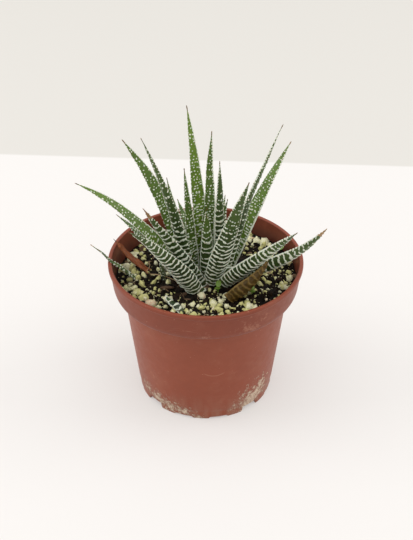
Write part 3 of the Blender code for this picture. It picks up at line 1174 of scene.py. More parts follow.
    def drill(self, obj: bpy.types.Object) -> None:
        """Cuts the round drain holes through the floor.

        Args:
            obj: the pot.
        """
        circle = 0.58 * self.foot_radius
        middle = self.floor_underside + self.floor_thickness / 2
        across = np.linspace(0, FULL_TURN, 48, endpoint=False)
        heights = middle + np.array([-4.0, 4.0]) * MM
        drills = []
        for turn in np.arange(self.hole_count) * FULL_TURN / self.hole_count:
            x = circle * math.cos(turn) + self.hole_radius * np.cos(across)
            y = circle * math.sin(turn) + self.hole_radius * np.sin(across)
            drills.append(Surface.tube(np.stack([np.stack([x, y, 0 * x + z], axis=-1) for z in heights])))
        cutter = Surface.together(drills).to_object("drain_cutter", obj.data.materials[0])
        cut = obj.modifiers.new("drain", "BOOLEAN")
        cut.operation = "DIFFERENCE"
        cut.solver = "MANIFOLD"
        cut.object = cutter
        with bpy.context.temp_override(object=obj, active_object=obj):
            bpy.ops.object.modifier_apply(modifier=cut.name)
        bpy.data.objects.remove(cutter)

    def build(self, effects: Effects) -> None:
        """Makes the pot.

        Args:
            effects: the shared effects.
        """
        obj = self.surface().to_object("nursery_pot", PotPlastic().material(effects))
        self.drill(obj)
        obj.data.set_sharp_from_angle(angle=math.radians(self.crease))
        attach(obj, "root")
        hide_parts("pot")
        log.info("%s: %d faces", obj.name, len(obj.data.polygons))


# ---------------- the leaves


class Husk(Enum):
    """How a dead part of a leaf looks: how brown it is and how rusty, each from 0 to 1."""

    STRAW = (0.15, 0.00)
    PINKISH = (0.30, 0.25)
    BROWN = (1.00, 0.00)
    RUST = (0.60, 0.90)


@dataclass(frozen=True)
class Leaf:
    """One leaf. Lengths are in millimetres and angles in degrees.

    azimuth and seat place its base: a direction from the crown's axis and a distance. lift is its
    height over the mix. rise is its slope at the base, bend what the slope gains by the tip, and
    swing how far its heading turns by the tip, starting at azimuth plus turn. roll turns its face
    about its own axis. sun is how much painted light its green has: high for a lit leaf, low for a
    shaded one. bands is the share of its length whose tubercles join into bands, and dots how
    thickly they lie on its inner face. dry_from is the share of its length where it starts to be
    dead, and husk how that part looks. crumple is how far its flesh has folded.
    """

    name: str
    azimuth: float
    seat: float
    lift: float
    length: float
    width: float
    rise: float
    bend: float
    swing: float = 0.0
    turn: float = 0.0
    roll: float = 0.0
    thickness: float = 0.34
    cup: float = 0.10
    sun: float = 0.4
    bands: float = 0.6
    dots: float = 0.55
    dry_from: float = 0.97
    husk: Husk = Husk.BROWN
    crumple: float = 0.0


LEAVES = (
    Leaf("leaf_heart", 285, 2.5, 3, 42, 7, 88, 0, sun=0.5, dots=0.8),
    Leaf("leaf_middle", 75, 4.2, 3, 78, 7, 82, 0, turn=4, sun=0.35, dots=0.85),
    Leaf("leaf_tall", 97, 8.4, 3, 88, 8.5, 84, -15, turn=18, sun=0.85, dots=0.75),
    Leaf("leaf_inner_left", 165, 6.2, 2, 61, 6.5, 82, 0, turn=-35, sun=0.3, dots=0.7),
    Leaf("leaf_inner_right", 7, 8.4, 2, 69, 7.5, 91, 0, roll=-58, sun=0.15, dots=0.95),
    Leaf("leaf_front", 299, 8.3, 2, 77, 11, 70, 0, turn=11, roll=-28, sun=0.2, bands=0.50),
    Leaf("leaf_front_left_inner", 236, 8.7, 2, 58, 10, 63, -5, turn=-37, roll=45, sun=0.15, bands=0.75,
         dry_from=0.86, husk=Husk.PINKISH),
    Leaf("leaf_left_slender", 188, 9, 2, 89, 9, 82, -15, turn=4, roll=35, sun=0.3, bands=0.38),
    Leaf("leaf_left_broad", 155, 10.8, 1, 82, 10, 78, -28, turn=4, roll=-40, sun=0.35, bands=0.40,
         dots=0.8),
    Leaf("leaf_right_slender", 354, 10.5, 2, 93, 8.5, 78, -12, turn=12, roll=-30, sun=0.35, bands=0.30),
    Leaf("leaf_right_broad", 17, 12, 1, 79, 9.5, 68, -14, turn=11, roll=20, sun=0.6, dots=0.85,
         dry_from=0.975, husk=Husk.PINKISH),
    Leaf("leaf_front_left", 245, 16, 1, 64, 12, 62, -18, turn=-29, roll=40, sun=0.15, bands=0.75),
    Leaf("leaf_left_arching", 187, 15, 1, 79, 8, 70, -48, turn=-12, roll=-20, sun=0.65, dots=0.7),
    Leaf("leaf_left_dark", 209, 17.5, 6, 52, 9.5, 60, -12, turn=-20, sun=0.1, bands=0.35, dots=0.9),
    Leaf("leaf_right_low", 319, 15, 1, 64, 10.5, 50, -3, turn=5, roll=-45, sun=0.2, bands=0.80),
    Leaf("leaf_right_long", 344, 16, 1, 61, 11.5, 18, 38, turn=3, roll=-60, sun=0.25, bands=0.75,
         dry_from=0.90, husk=Husk.STRAW),
    Leaf("leaf_back_left", 134, 13.5, 1, 48, 5, 48, 0, turn=-22, sun=0.1),
    Leaf("leaf_back", 100, 14, 1, 40, 6, 27, 0, turn=12, sun=0.1),
    Leaf("leaf_back_right", 60, 14, 1, 37, 6, 41, 0, turn=22, sun=0.1),
    Leaf("leaf_inner_back", 53, 8.4, 1, 38, 6, 70, 0, turn=8, sun=0.1),
    Leaf("leaf_back_upright", 86, 10.7, 2, 46, 7, 60, 0, sun=0.2, dry_from=0.90, husk=Husk.PINKISH),
    Leaf("leaf_dying", 305, 26.5, 0, 27, 12, 40, 16, turn=65, roll=-60, bands=1.0, dry_from=-1.0,
         crumple=0.35),
    Leaf("leaf_dead", 168, 34, 0, 24, 5, 32, 24, turn=-4, bands=0.0, dots=0.0, dry_from=-1.0,
         husk=Husk.RUST, crumple=0.9),
    Leaf("leaf_small_dark", 182, 22, 0, 11, 6, 75, 0, sun=0.0, bands=0.0, dots=0.2),
    Leaf("leaf_old_thin", 180, 39, 0, 31, 3, 43, 0, sun=0.1, bands=0.0, dots=0.6, dry_from=0.93,
         husk=Husk.STRAW),
    Leaf("leaf_pup", 245, 32, 0, 11, 4.5, 28, 0, turn=-100, roll=180, sun=0.0, bands=1.0, dots=0.5),
)


STRAY_ALONG, STRAY_ACROSS = 0.30, 0.55
LEAST_STRETCH, MORE_STRETCH = 0.72, 0.52
LEAST_WIDTH, MORE_WIDTH = 0.85, 0.45


def dot_field(
    row: Array, across: Array, pitch: Array | float, spacing: Array | float,
    size_along: Array, size_across: Array, share: Array, seed: int,
) -> Array:
    """The height of a sheet of dots that lie in rows.

    Row k lies where row equals k, and its dots are a spacing apart, each row shifted by its own
    draw. Each dot's place, size and whether it is there at all are draws too. One dot's height is
    1 - (da / size along)^2 - (dc / size across)^2, where da and dc are how far the point is from
    it, and the sheet's is the highest of the nine dots nearest the point. A dot strays from its
    even place by up to half of STRAY, and is stretched and widened by its draws.

    Args:
        row: the row number that each point has.
        across: distance across the surface.
        pitch: the distance between rows.
        spacing: the distance between the dots of a row.
        size_along: a dot's half height at each point.
        size_across: a dot's half width.
        share: the share of the dots that are there.
        seed: which sheet it is.

    Returns:
        The height at each point, at most 1 and cut off at -1.
    """
    highest = np.full(row.shape, -1.0)
    nearest_row = np.floor(row + 0.5).astype(np.int64)
    for row_step, column_step in itertools.product((-1, 0, 1), repeat=2):
        k = nearest_row + row_step
        shift = hashed(np.stack([k, 0 * k, 0 * k], axis=-1), seed)
        column = across / spacing + shift
        j = np.floor(column + 0.5).astype(np.int64) + column_step
        draws = [hashed(np.stack([k, j, 0 * k + i], axis=-1), seed + 1) for i in range(4)]
        up = (row - k - STRAY_ALONG * (draws[0] - 0.5)) * pitch / size_along
        over = (column - j - STRAY_ACROSS * (draws[1] - 0.5)) * spacing / size_across
        over /= LEAST_WIDTH + MORE_WIDTH * draws[0]
        stretch = LEAST_STRETCH + MORE_STRETCH * draws[2]
        height = 1.0 - (up**2 + over**2) / stretch**2
        highest = np.maximum(highest, np.where(draws[3] < share, height, -1.0))
    return highest


@dataclass
class LeafShape:
    """Works out one leaf's surface.

    Attributes:
        leaf: the leaf.
        mix: the potting mix that it stands in.
        seed: what its draws start from.
        row_step: the distance between rings, in metres.
        sides: how many points go round a ring; a multiple of four.
        gap: the clearance that the frame's leaves keep from the mix.
        buried: how far into the mix the leaf goes on, below its lift.
        least_half: the least half width, before the tip is pointed.
        least_thickness: the least thickness, before the tip is pointed.
        point_length: how long the pointed end of the tip is.
        wander: how far the midline strays, at most.
        band_pitch: the distance between the rows of the outer face.
        dot_spacing: the distance between the dots of such a row.
        dot_pitch: the distance between the dots of the inner face, both ways.
        tick_pitch: the distance between the teeth of a margin.
        tick_size: how large such a tooth is.
        ridge_from: leaves whose bands reach this far have their teeth run together.
        wart_height: how far the tubercles stand out.
    """

    leaf: Leaf
    mix: "PottingMix"
    seed: int
    row_step: float = 0.30 * MM
    sides: int = 64
    gap: float = 0.35 * MM
    buried: float = 3.0 * MM
    least_half: float = 0.23 * MM
    least_thickness: float = 0.30 * MM
    point_length: float = 0.8 * MM
    wander: float = 0.55 * MM
    band_pitch: float = 2.85 * MM
    dot_spacing: float = 1.25 * MM
    dot_pitch: float = 1.65 * MM
    tick_pitch: float = 1.75 * MM
    tick_size: float = 0.42 * MM
    ridge_from: float = 0.45
    wart_height: float = 0.38 * MM

    def spine(self, along: Array) -> tuple[Array, Array, Array]:
        """The midline, and the side and the normal of the leaf's face along it.

        The slope goes evenly from rise to rise + bend, and the heading turns evenly by swing. The
        midline is the running sum of the short steps that they give. Before the base it goes on
        straight.

        Args:
            along: distance from the base, below 0 where the leaf is in the mix.

        Returns:
            Points, sides and normals, each of shape (rings, 3).
        """
        leaf = self.leaf
        share = np.clip(along / (leaf.length * MM), 0, 1)
        slope = np.radians(leaf.rise + leaf.bend * share)
        heading = np.radians(leaf.azimuth + leaf.turn + leaf.swing * share)
        flat = np.cos(slope)
        tangent = np.stack([flat * np.cos(heading), flat * np.sin(heading), np.sin(slope)], axis=1)
        side = np.stack([-np.sin(heading), np.cos(heading), 0 * heading], axis=1)
        normal = np.cross(tangent, side)
        roll = math.radians(leaf.roll)
        steps = (tangent[1:] + tangent[:-1]) / 2 * np.diff(along)[:, None]
        points = np.concatenate([np.zeros((1, 3)), np.cumsum(steps, axis=0)])
        start = np.array([np.interp(0.0, along, points[:, i]) for i in range(3)])
        rolled_side = math.cos(roll) * side + math.sin(roll) * normal
        rolled_normal = math.cos(roll) * normal - math.sin(roll) * side
        return points - start, rolled_side, rolled_normal

    def section(self, share: Array) -> tuple[Array, Array, Array, Array]:
        """The sizes of the section.

        The width is a parabola of the share, a little narrower at the base, and the last stretch
        before the tip is pointed by a square root.

        Args:
            share: shares of the length.

        Returns:
            Half width, upper bulge, lower bulge and cup at each share.
        """
        leaf = self.leaf
        ease_in = np.clip(share / 0.18, 0, 1)
        taper = 1 - share**2
        point = np.sqrt(np.clip((1 - share) * leaf.length * MM / self.point_length, 0.02, 1))
        half = leaf.width * MM / 2 * taper * (0.84 + 0.16 * ease_in)
        half = np.maximum(half, self.least_half) * point
        thickness = leaf.thickness * leaf.width * MM * taper * (0.7 + 0.3 * ease_in)
        thickness = np.maximum(thickness, self.least_thickness) * point
        upper = thickness * (0.12 + 0.25 * share)
        cup = leaf.cup * leaf.width * MM * (1 - share) ** 1.5
        return half, upper, thickness - upper, cup

    def smooth_grid(self, along: Array) -> tuple[Array, Array, Array]:
        """The surface before its tubercles.

        A section is two half ellipses on a curved midline: sin on the inner face, and on the outer
        face a blend of sin with 1 - |cos|, which gives it a keel that grows towards the tip.

        Args:
            along: distance of each ring from the base.

        Returns:
            The grid, shape (rings, sides, 3), its outward normals, and the angle round the section.
        """
        share = np.clip(along / (self.leaf.length * MM), 0, 1)
        points, side, normal = self.spine(along)
        half, upper, lower, cup = (value[:, None] for value in self.section(share))
        angle = np.linspace(0, FULL_TURN, self.sides, endpoint=False)[None]
        across, rise = np.cos(angle), np.sin(angle)
        keel = (0.10 + 0.45 * share)[:, None]
        outer_shape = (1 - keel) * rise - keel * (1 - np.abs(across))
        flare = 1 + 0.15 * ease(-along, 0.0, 3.5 * MM)[:, None]
        out = half * across * flare
        up = np.where(rise > 0, upper * rise, lower * outer_shape) + cup * across**2
        grid = points[:, None] + out[..., None] * side[:, None] + up[..., None] * normal[:, None]
        grid += self.bends(share)[:, None]
        base = np.argmin(np.abs(along))
        grid += self.seat_of(grid[base])
        round_it = np.roll(grid, -1, axis=1) - np.roll(grid, 1, axis=1)
        outward = np.cross(round_it, np.gradient(grid, axis=0))
        outward /= np.maximum(np.linalg.norm(outward, axis=-1, keepdims=True), 1e-12)
        return grid, outward, angle

    def bends(self, share: Array) -> Array:
        """Slight wandering of the midline, none at the base, as grown leaves have.

        Args:
            share: shares of the length.

        Returns:
            How far the midline is moved at each share, shape (rings, 3).
        """
        knots = np.stack([share * 4.0, 0 * share + self.seed * 3.7, 0 * share], axis=-1)
        swing = [lattice_noise(knots, 1.0, 50 + i) for i in range(3)]
        return np.stack(swing, axis=-1) * (self.wander * ease(share, 0.0, 0.5))[:, None]

    def seat_of(self, base_ring: Array) -> Array:
        """How far to move the leaf, so that its base ring's lowest point stands at its lift.

        Args:
            base_ring: the ring at the base, shape (sides, 3).

        Returns:
            The move, as a vector.
        """
        leaf = self.leaf
        azimuth = math.radians(leaf.azimuth)
        x = leaf.seat * MM * math.cos(azimuth)
        y = self.mix.crown_y + leaf.seat * MM * math.sin(azimuth)
        foot = float(self.mix.level_at(np.array(x), np.array(y))) + leaf.lift * MM + self.gap
        return np.array([x, y, foot - base_ring[:, 2].min()])

    def distances_across(self, grid: Array) -> tuple[Array, Array]:
        """Signed distances round the section.

        Args:
            grid: the surface.

        Returns:
            The distance from the keel, and from the middle of the inner face, at each point.
        """
        steps = np.linalg.norm(np.diff(grid, axis=1), axis=-1)
        reach = np.concatenate([np.zeros((len(grid), 1)), np.cumsum(steps, axis=1)], axis=1)
        keel, middle = self.sides * 3 // 4, self.sides // 4
        return reach - reach[:, keel : keel + 1], reach - reach[:, middle : middle + 1]

    def warts(self, along: Array, grid: Array, angle: Array) -> Array:
        """The height field of the white tubercles.

        They are those of the outer face, those of the inner face, and a row of teeth up both
        margins.

        Args:
            along: distance of each ring from the base.
            grid: the surface.
            angle: the angle round the section.

        Returns:
            Heights, shape (rings, sides), at most 1.
        """
        leaf = self.leaf
        share = np.clip(along / (leaf.length * MM), 0, 1)[:, None]
        s = along[:, None] + 0 * angle
        from_keel, from_middle = self.distances_across(grid)
        half = np.abs(from_keel[:, self.sides // 2])[:, None] + 1e-6
        knots = np.stack([s, from_keel, 0 * s + self.seed * 0.013], axis=-1)
        merged = 1 - ease(share, leaf.bands - 0.22, leaf.bands + 0.18)
        outer = self.outer_warts(along, share, from_keel, half, knots, merged)
        inner = self.inner_warts(s, share, from_middle, knots)
        field = np.where(np.sin(angle) < 0, outer, inner)
        ridge = merged * float(leaf.bands >= self.ridge_from)
        return np.maximum(field, self.margin_ticks(s, share, from_keel, half, ridge))

    def outer_warts(
        self, along: Array, share: Array, from_keel: Array, half: Array, knots: Array, merged: Array
    ) -> Array:
        """The rows of the outer face: wavy, arched a little, and merged into bands low on the leaf.

        A row's number is the distance along, counted in pitches, plus two noises, less 0.3 times
        the squared share of the way round to the margin.

        Args:
            along: distance of each ring from the base.
            share: share of the leaf's length.
            from_keel: distance round the section from the keel.
            half: half the way round the section.
            knots: where the noises are read.
            merged: how far the dots have run together, 0 to 1.

        Returns:
            Their height, at most 1.
        """
        pitch = self.row_pitch(share)
        counted = np.cumsum(np.gradient(along)[:, None] / pitch, axis=0)
        wave = 0.26 * lattice_noise(knots, 3.6 * MM, self.seed) + 0.12 * lattice_noise(knots, 1.2 * MM, 7)
        row = counted + wave - 0.30 * (from_keel / half) ** 2
        spacing = self.dot_spacing * (1.25 - 0.25 * merged)
        size_along = (0.46 + 0.10 * merged) * MM
        size_across = (0.50 + 0.62 * merged) * MM
        there = 0.86 + 0.13 * merged - 0.25 * ease(share, 0.85, 1.0)
        seed = self.seed * 11 + 1
        return dot_field(row, from_keel, pitch, spacing, size_along, size_across, there, seed)

    def inner_warts(self, s: Array, share: Array, from_middle: Array, knots: Array) -> Array:
        """The dots of the inner face: sparse and round, larger and wider near the base.

        Args:
            s: distance up the leaf.
            share: share of its length.
            from_middle: distance round the section from the middle of the inner face.
            knots: where the noise is read.

        Returns:
            Their height, at most 1.
        """
        low = 1 - ease(share, 0.20, 0.65)
        row = s / self.dot_pitch + 0.5 * lattice_noise(knots, 2.5 * MM, self.seed + 5)
        size = (0.42 + 0.08 * low) * MM
        width = size * (1.05 + 0.8 * low)
        there = self.leaf.dots * (0.85 + 0.15 * low)
        seed = self.seed * 11 + 2
        return dot_field(row, from_middle, self.dot_pitch, self.dot_pitch, size, width, there, seed)

    def row_pitch(self, share: Array) -> Array:
        """How far apart the rows of the outer face are: close at the base, widest half way, close again."""
        widening = ease(share, 0.05, 0.50) - 0.9 * ease(share, 0.55, 0.90)
        return self.band_pitch * (1 + 0.12 * widening)

    def margin_ticks(self, s: Array, share: Array, from_keel: Array, half: Array, ridge: Array) -> Array:
        """The teeth of both margins, which run into one white line where the leaf has a ridge.

        Args:
            s: distance up the leaf.
            share: share of its length.
            from_keel: distance round the section from the keel.
            half: half the way round the section.
            ridge: how far the teeth have run together, 0 to 1.

        Returns:
            Their height, at most 1.
        """
        best = np.full(s.shape, -1.0)
        for place in (-1, 1):
            away = from_keel - place * half
            if place > 0:
                away = np.minimum(np.abs(away), np.abs(away + 2 * half))
            row = s / self.tick_pitch + 0.4 * place
            k = np.floor(row + 0.5)
            draw = hashed(np.stack([k, 0 * k + place, 0 * k], axis=-1), self.seed + 31)
            up = (row - k - 0.3 * (draw - 0.5)) * self.tick_pitch / self.tick_size
            width = self.tick_size + 0.25 * MM * draw
            tick = 1 - (1 - 0.85 * ridge) * up**2 - (away / width) ** 2
            best = np.maximum(best, np.where(draw < 0.94 - 0.4 * (share > 0.93), tick, -1.0))
        return best

    def build(self) -> Surface:
        """The leaf's surface, with the numbers that its skin reads.

        Each point moves out along its normal by the tubercles' height there, which is a smooth
        step of their height field, and by folds where the leaf has crumpled.

        Returns:
            The leaf.
        """
        leaf = self.leaf
        length = leaf.length * MM
        buried = leaf.lift * MM + self.buried
        rings = int((length + buried) / self.row_step)
        along = np.linspace(-buried, length, rings)
        grid, outward, angle = self.smooth_grid(along)
        share = np.clip(along / length, 0, 1)[:, None] + 0 * angle
        field = np.full(share.shape, -1.0)
        if leaf.bands > 0 or leaf.dots > 0:
            field = self.warts(along, grid, angle)
        section = leaf.width * MM * (1 - share**2)
        fade = np.clip(section / (2.2 * MM), 0.25, 1.0)
        relief = self.wart_height * fade * ease(field, 0.0, 0.8)
        if leaf.crumple:
            folds = layered_noise(grid * np.array([1.0, 1.0, 0.6]), 3.5 * MM, self.seed + 70)
            ribs = lattice_noise(np.stack([share * 2.0, angle * 3.2 + 0 * share, 0 * share], -1), 0.5, 9)
            relief = relief * (1 - 0.4 * leaf.crumple)
            relief += leaf.crumple * fade * (0.75 * MM * folds + 0.35 * MM * ribs)
        grid = grid + outward * relief[..., None]
        brown, rust = leaf.husk.value
        values = {
            "back": ease(-np.sin(angle) + 0 * share, -0.25, 0.25),
            "along": share,
            "wart": np.clip(field, 0, 1),
            "dry": ease(share, leaf.dry_from - 0.05, leaf.dry_from + 0.05),
            "brown": np.array(brown),
            "rust": np.array(rust),
            "sun": np.array(leaf.sun),
        }
        return Surface.tube(grid, values)


@dataclass
class Rosette:
    """All the leaves, each its own piece, and the crown that they spring from."""

    mix: "PottingMix"

    def build(self, effects: Effects) -> None:
        """Makes each leaf from its row in the table, and dresses the crown.

        Args:
            effects: the shared effects.
        """
        skin = LeafSkin().material(effects)
        for number, leaf in enumerate(LEAVES):
            surface = LeafShape(leaf, self.mix, seed=number + 1).build()
            obj = surface.to_object(f"{leaf.name}_skin", skin)
            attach(obj, "root")
            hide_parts(leaf.name)
            log.info("%s: %d faces", obj.name, len(obj.data.polygons))
        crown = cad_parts["crown"]
        crown.data.materials.clear()
        crown.data.materials.append(CrownFlesh().material(effects))
        log.info("crown: the frame's own node")


# ---------------- the potting mix


@dataclass
class PottingMix:
    """The mix: a crumbly surface of peat, and the grit, bark, roots and seedlings that lie in it."""

    pot: Pot
    level: float = 71.5 * MM
    mound: float = 1.2 * MM
    mound_radius: float = 24 * MM
    slant: float = 0.015
    crown_y: float = -3 * MM
    gap: float = 0.35 * MM
    margin: float = 0.15 * MM
    seed: int = 870
    rings: int = 150
    sides: int = 480

    def level_at(self, x: Array, y: Array) -> Array:
        """The mean level: flat, with a low mound in the middle and a slight rise to the right."""
        return self.level + self.mound * np.exp(-(x * x + y * y) / self.mound_radius**2) + self.slant * x

    def height_at(self, x: Array, y: Array) -> Array:
        """The real surface: the mean level with clods and crumbs on it, dipping to the wall.

        Args:
            x: places along X.
            y: places along Y.

        Returns:
            The height at each place.
        """
        places = np.stack([x, y, 0 * x], axis=-1)
        clods = 1.3 * MM * layered_noise(places, 9 * MM, 301, 3)
        crumbs = 0.75 * MM * np.abs(layered_noise(places, 2.2 * MM, 311, 3))
        dip = 0.8 * MM * ease(np.hypot(x, y), 38 * MM, 47 * MM)
        return self.level_at(x, y) + clods + crumbs - dip - 0.6 * MM

    def surface(self) -> Surface:
        """The peat as one closed body: its top on a polar grid, its side and bottom inside the pot.

        Returns:
            The body, with its tone.
        """
        around = np.linspace(0, FULL_TURN, self.sides, endpoint=False)[None]
        edge = float(self.pot.inner_radius(self.level)) - self.margin
        share = np.linspace(0.004, 1, self.rings)[:, None] ** 0.8
        top = self.ring_points(edge * share, around)
        foot = 8 * MM
        floor = self.pot.floor_underside + self.pot.floor_thickness + self.gap
        sides = []
        for depth in (64 * MM, 40 * MM, foot, floor):
            radius = float(self.pot.inner_radius(max(depth, foot))) - self.margin
            x, y = radius * np.cos(around), radius * np.sin(around)
            sides.append(np.stack([x, y, np.full_like(x, depth)], axis=-1))
        grid = np.concatenate([top, np.concatenate(sides)])[::-1]
        places = np.stack([grid[..., 0], grid[..., 1], 0 * grid[..., 2]], axis=-1)
        tone = 0.25 + 0.35 * lattice_noise(places, 2.5 * MM, 320)
        return Surface.tube(grid, {"tone": tone})

    def ring_points(self, radius: Array, around: Array) -> Array:
        """Points of the top at each radius and angle."""
        x, y = radius * np.cos(around), radius * np.sin(around)
        return np.stack([x, y, self.height_at(x, y)], axis=-1)

    def leaf_feet(self) -> tuple[Array, Array]:
        """Where each leaf meets the mix.

        Returns:
            The places, shape (leaves, 2), and how far from its place each leaf reaches.
        """
        azimuths = np.radians([leaf.azimuth for leaf in LEAVES])
        seats = np.array([leaf.seat for leaf in LEAVES]) * MM
        feet = np.stack([seats * np.cos(azimuths), self.crown_y + seats * np.sin(azimuths)], axis=-1)
        return feet, np.array([leaf.width for leaf in LEAVES]) * MM * 0.42

    def scatter(self, count: int, random: np.random.Generator, clear: float, edge: float) -> Array:
        """Random places on the mix.

        More of them lie at the front and round the edge, and none under a leaf's foot.

        Args:
            count: how many to draw; fewer are left.
            random: where the draws come from.
            clear: how much further than a leaf's reach they keep from its foot.
            edge: how far from the wall they keep.

        Returns:
            Places (x, y), in metres.
        """
        reach = float(self.pot.inner_radius(self.level)) - edge
        radius = reach * np.sqrt(random.random(count))
        around = random.random(count) * FULL_TURN
        places = np.stack([radius * np.cos(around), radius * np.sin(around)], axis=-1)
        clumps = lattice_noise(np.concatenate([places, np.zeros((count, 1))], axis=1), 11 * MM, 330)
        chance = 0.42 + 0.25 * ease(radius, 0.3 * reach, 0.9 * reach) + 0.55 * clumps
        chance += 0.16 * ease(-places[:, 1], 5 * MM, 25 * MM)
        keep = random.random(count) < chance
        feet, reaches = self.leaf_feet()
        away = np.linalg.norm(places[:, None] - feet[None], axis=-1) - reaches[None]
        keep &= away.min(axis=1) > clear
        return places[keep]

    def lumps(
        self, shape: Surface, places: Array, sizes: Array, stretch: tuple[float, float, float],
        rough: float, sink: float, random: np.random.Generator, tone: Array,
    ) -> Surface:
        """Lumps of grit or peat that lie on the mix.

        Each is a ball stretched along its own axes, turned at random, with each point pushed in or
        out by a draw.

        Args:
            shape: the unit ball that they start from.
            places: where they lie.
            sizes: their radii.
            stretch: their radii along their own axes, as shares of the radius.
            rough: how far a point is pushed, as a share of the radius.
            sink: how deep the centre lies under the surface, as a share of the radius.
            random: where the draws come from.
            tone: their tones.

        Returns:
            All the lumps as one surface.
        """
        count = len(places)
        unit = shape.points[None] * (1 + rough * random.normal(size=(count, len(shape.points), 1)))
        axes = np.array(stretch) * (1 + 0.15 * random.normal(size=(count, 3)))
        turned_axes = np.einsum("nij,nvj->nvi", random_turns(count, random), unit * axes[:, None])
        x, y = places[:, 0], places[:, 1]
        centres = np.stack([x, y, self.height_at(x, y) - sink * sizes], axis=-1)
        return Surface.copies(shape, centres[:, None] + turned_axes * sizes[:, None, None], {"tone": tone})

    def grit(self, random: np.random.Generator) -> Surface:
        """Pumice granules of 1.5 to 4.5 mm, with finer grit between them and a few large stones.

        Args:
            random: where the draws come from.

        Returns:
            All of them as one surface.
        """
        places = self.spread_out(self.scatter(1900, random, 0.2 * MM, 1.6 * MM), 2.25 * MM)
        sizes = (0.85 + 1.25 * random.random(len(places)) ** 1.4) * MM
        tones = np.clip(random.normal(0.42, 0.24, len(places)), 0, 1)
        coarse = self.lumps(ball(4, 7), places, sizes, (1.18, 0.90, 0.75), 0.17, -0.05, random, tones)
        places = self.scatter(1500, random, 0.0, 1.2 * MM)
        sizes = (0.25 + 0.45 * random.random(len(places)) ** 2) * MM
        tones = np.clip(random.normal(0.45, 0.25, len(places)), 0, 1)
        fine = self.lumps(ball(2, 5), places, sizes, (1.1, 0.9, 0.8), 0.12, -0.2, random, tones)
        return Surface.together([coarse, fine, self.stones(random)])

    def spread_out(self, places: Array, apart: float) -> Array:
        """Drops each place that lies too near to one before it.

        Args:
            places: the places, shape (places, 2).
            apart: the least distance.

        Returns:
            Those that are left.
        """
        gaps = np.linalg.norm(places[:, None] - places[None], axis=-1)
        later = np.tril(np.ones_like(gaps), -1) > 0
        return places[~((gaps < apart) & later).any(axis=1)]

    def stones(self, random: np.random.Generator) -> Surface:
        """The large stones, listed one by one: x, y and radius in millimetres, and tone.

        Args:
            random: where the draws come from.

        Returns:
            All of them as one surface.
        """
        listed = np.array([
            (-43, 8, 3.4, 0.75), (-29.5, -26, 3.2, 0.98), (-36, -15, 2.8, 0.35), (-33, -21, 2.5, 0.30),
            (29, 33, 3.2, 0.70), (33, 29, 3.0, 0.60), (25, 36, 2.6, 0.55), (-2, -20, 2.5, 0.85),
            (4, -27, 2.8, 0.55), (23, -30, 2.6, 0.80), (-16, -32, 2.3, 0.30), (8, -38, 2.4, 0.35),
            (-6, -37, 2.2, 0.30), (41, -10, 2.4, 0.40), (-40, 22, 2.6, 0.60), (12, 40, 2.6, 0.45),
        ])
        places, sizes, tones = listed[:, :2] * MM, listed[:, 2] * MM, listed[:, 3]
        return self.lumps(ball(5, 8), places, sizes, (1.20, 0.90, 0.72), 0.085, 0.0, random, tones)

    def crumbs(self, random: np.random.Generator) -> Surface:
        """Peat crumbs, 0.4 to 2.6 mm, dark, some paler and woody.

        Args:
            random: where the draws come from.

        Returns:
            All of them as one surface.
        """
        places = self.scatter_evenly(3000, random)
        sizes = (0.2 + 1.1 * random.random(len(places)) ** 3) * MM
        tones = np.clip(random.normal(0.30, 0.30, len(places)), 0, 1)
        return self.lumps(ball(3, 5), places, sizes, (1.3, 0.85, 0.7), 0.16, -0.1, random, tones)

    def scatter_evenly(self, count: int, random: np.random.Generator) -> Array:
        """Random places all over the mix, evenly by area.

        Args:
            count: how many.
            random: where the draws come from.

        Returns:
            Places (x, y), in metres.
        """
        radius = (float(self.pot.inner_radius(self.level)) - 0.8 * MM) * np.sqrt(random.random(count))
        around = random.random(count) * FULL_TURN
        return np.stack([radius * np.cos(around), radius * np.sin(around)], axis=-1)

    def bark(self, random: np.random.Generator) -> Surface:
        """Flat chips of bark, one of them large, at the front left.

        Args:
            random: where the draws come from.

        Returns:
            All of them as one surface.
        """
        count = 26
        places = np.concatenate([[[-20.5 * MM, -13 * MM]], self.scatter_evenly(count, random)])
        sizes = np.concatenate([[3.6 * MM], (0.9 + 1.4 * random.random(count)) * MM])
        tones = np.concatenate([[0.08], 0.05 + 0.3 * random.random(count)])
        return self.lumps(ball(5, 8), places, sizes, (1.3, 0.75, 0.28), 0.09, -0.2, random, tones)

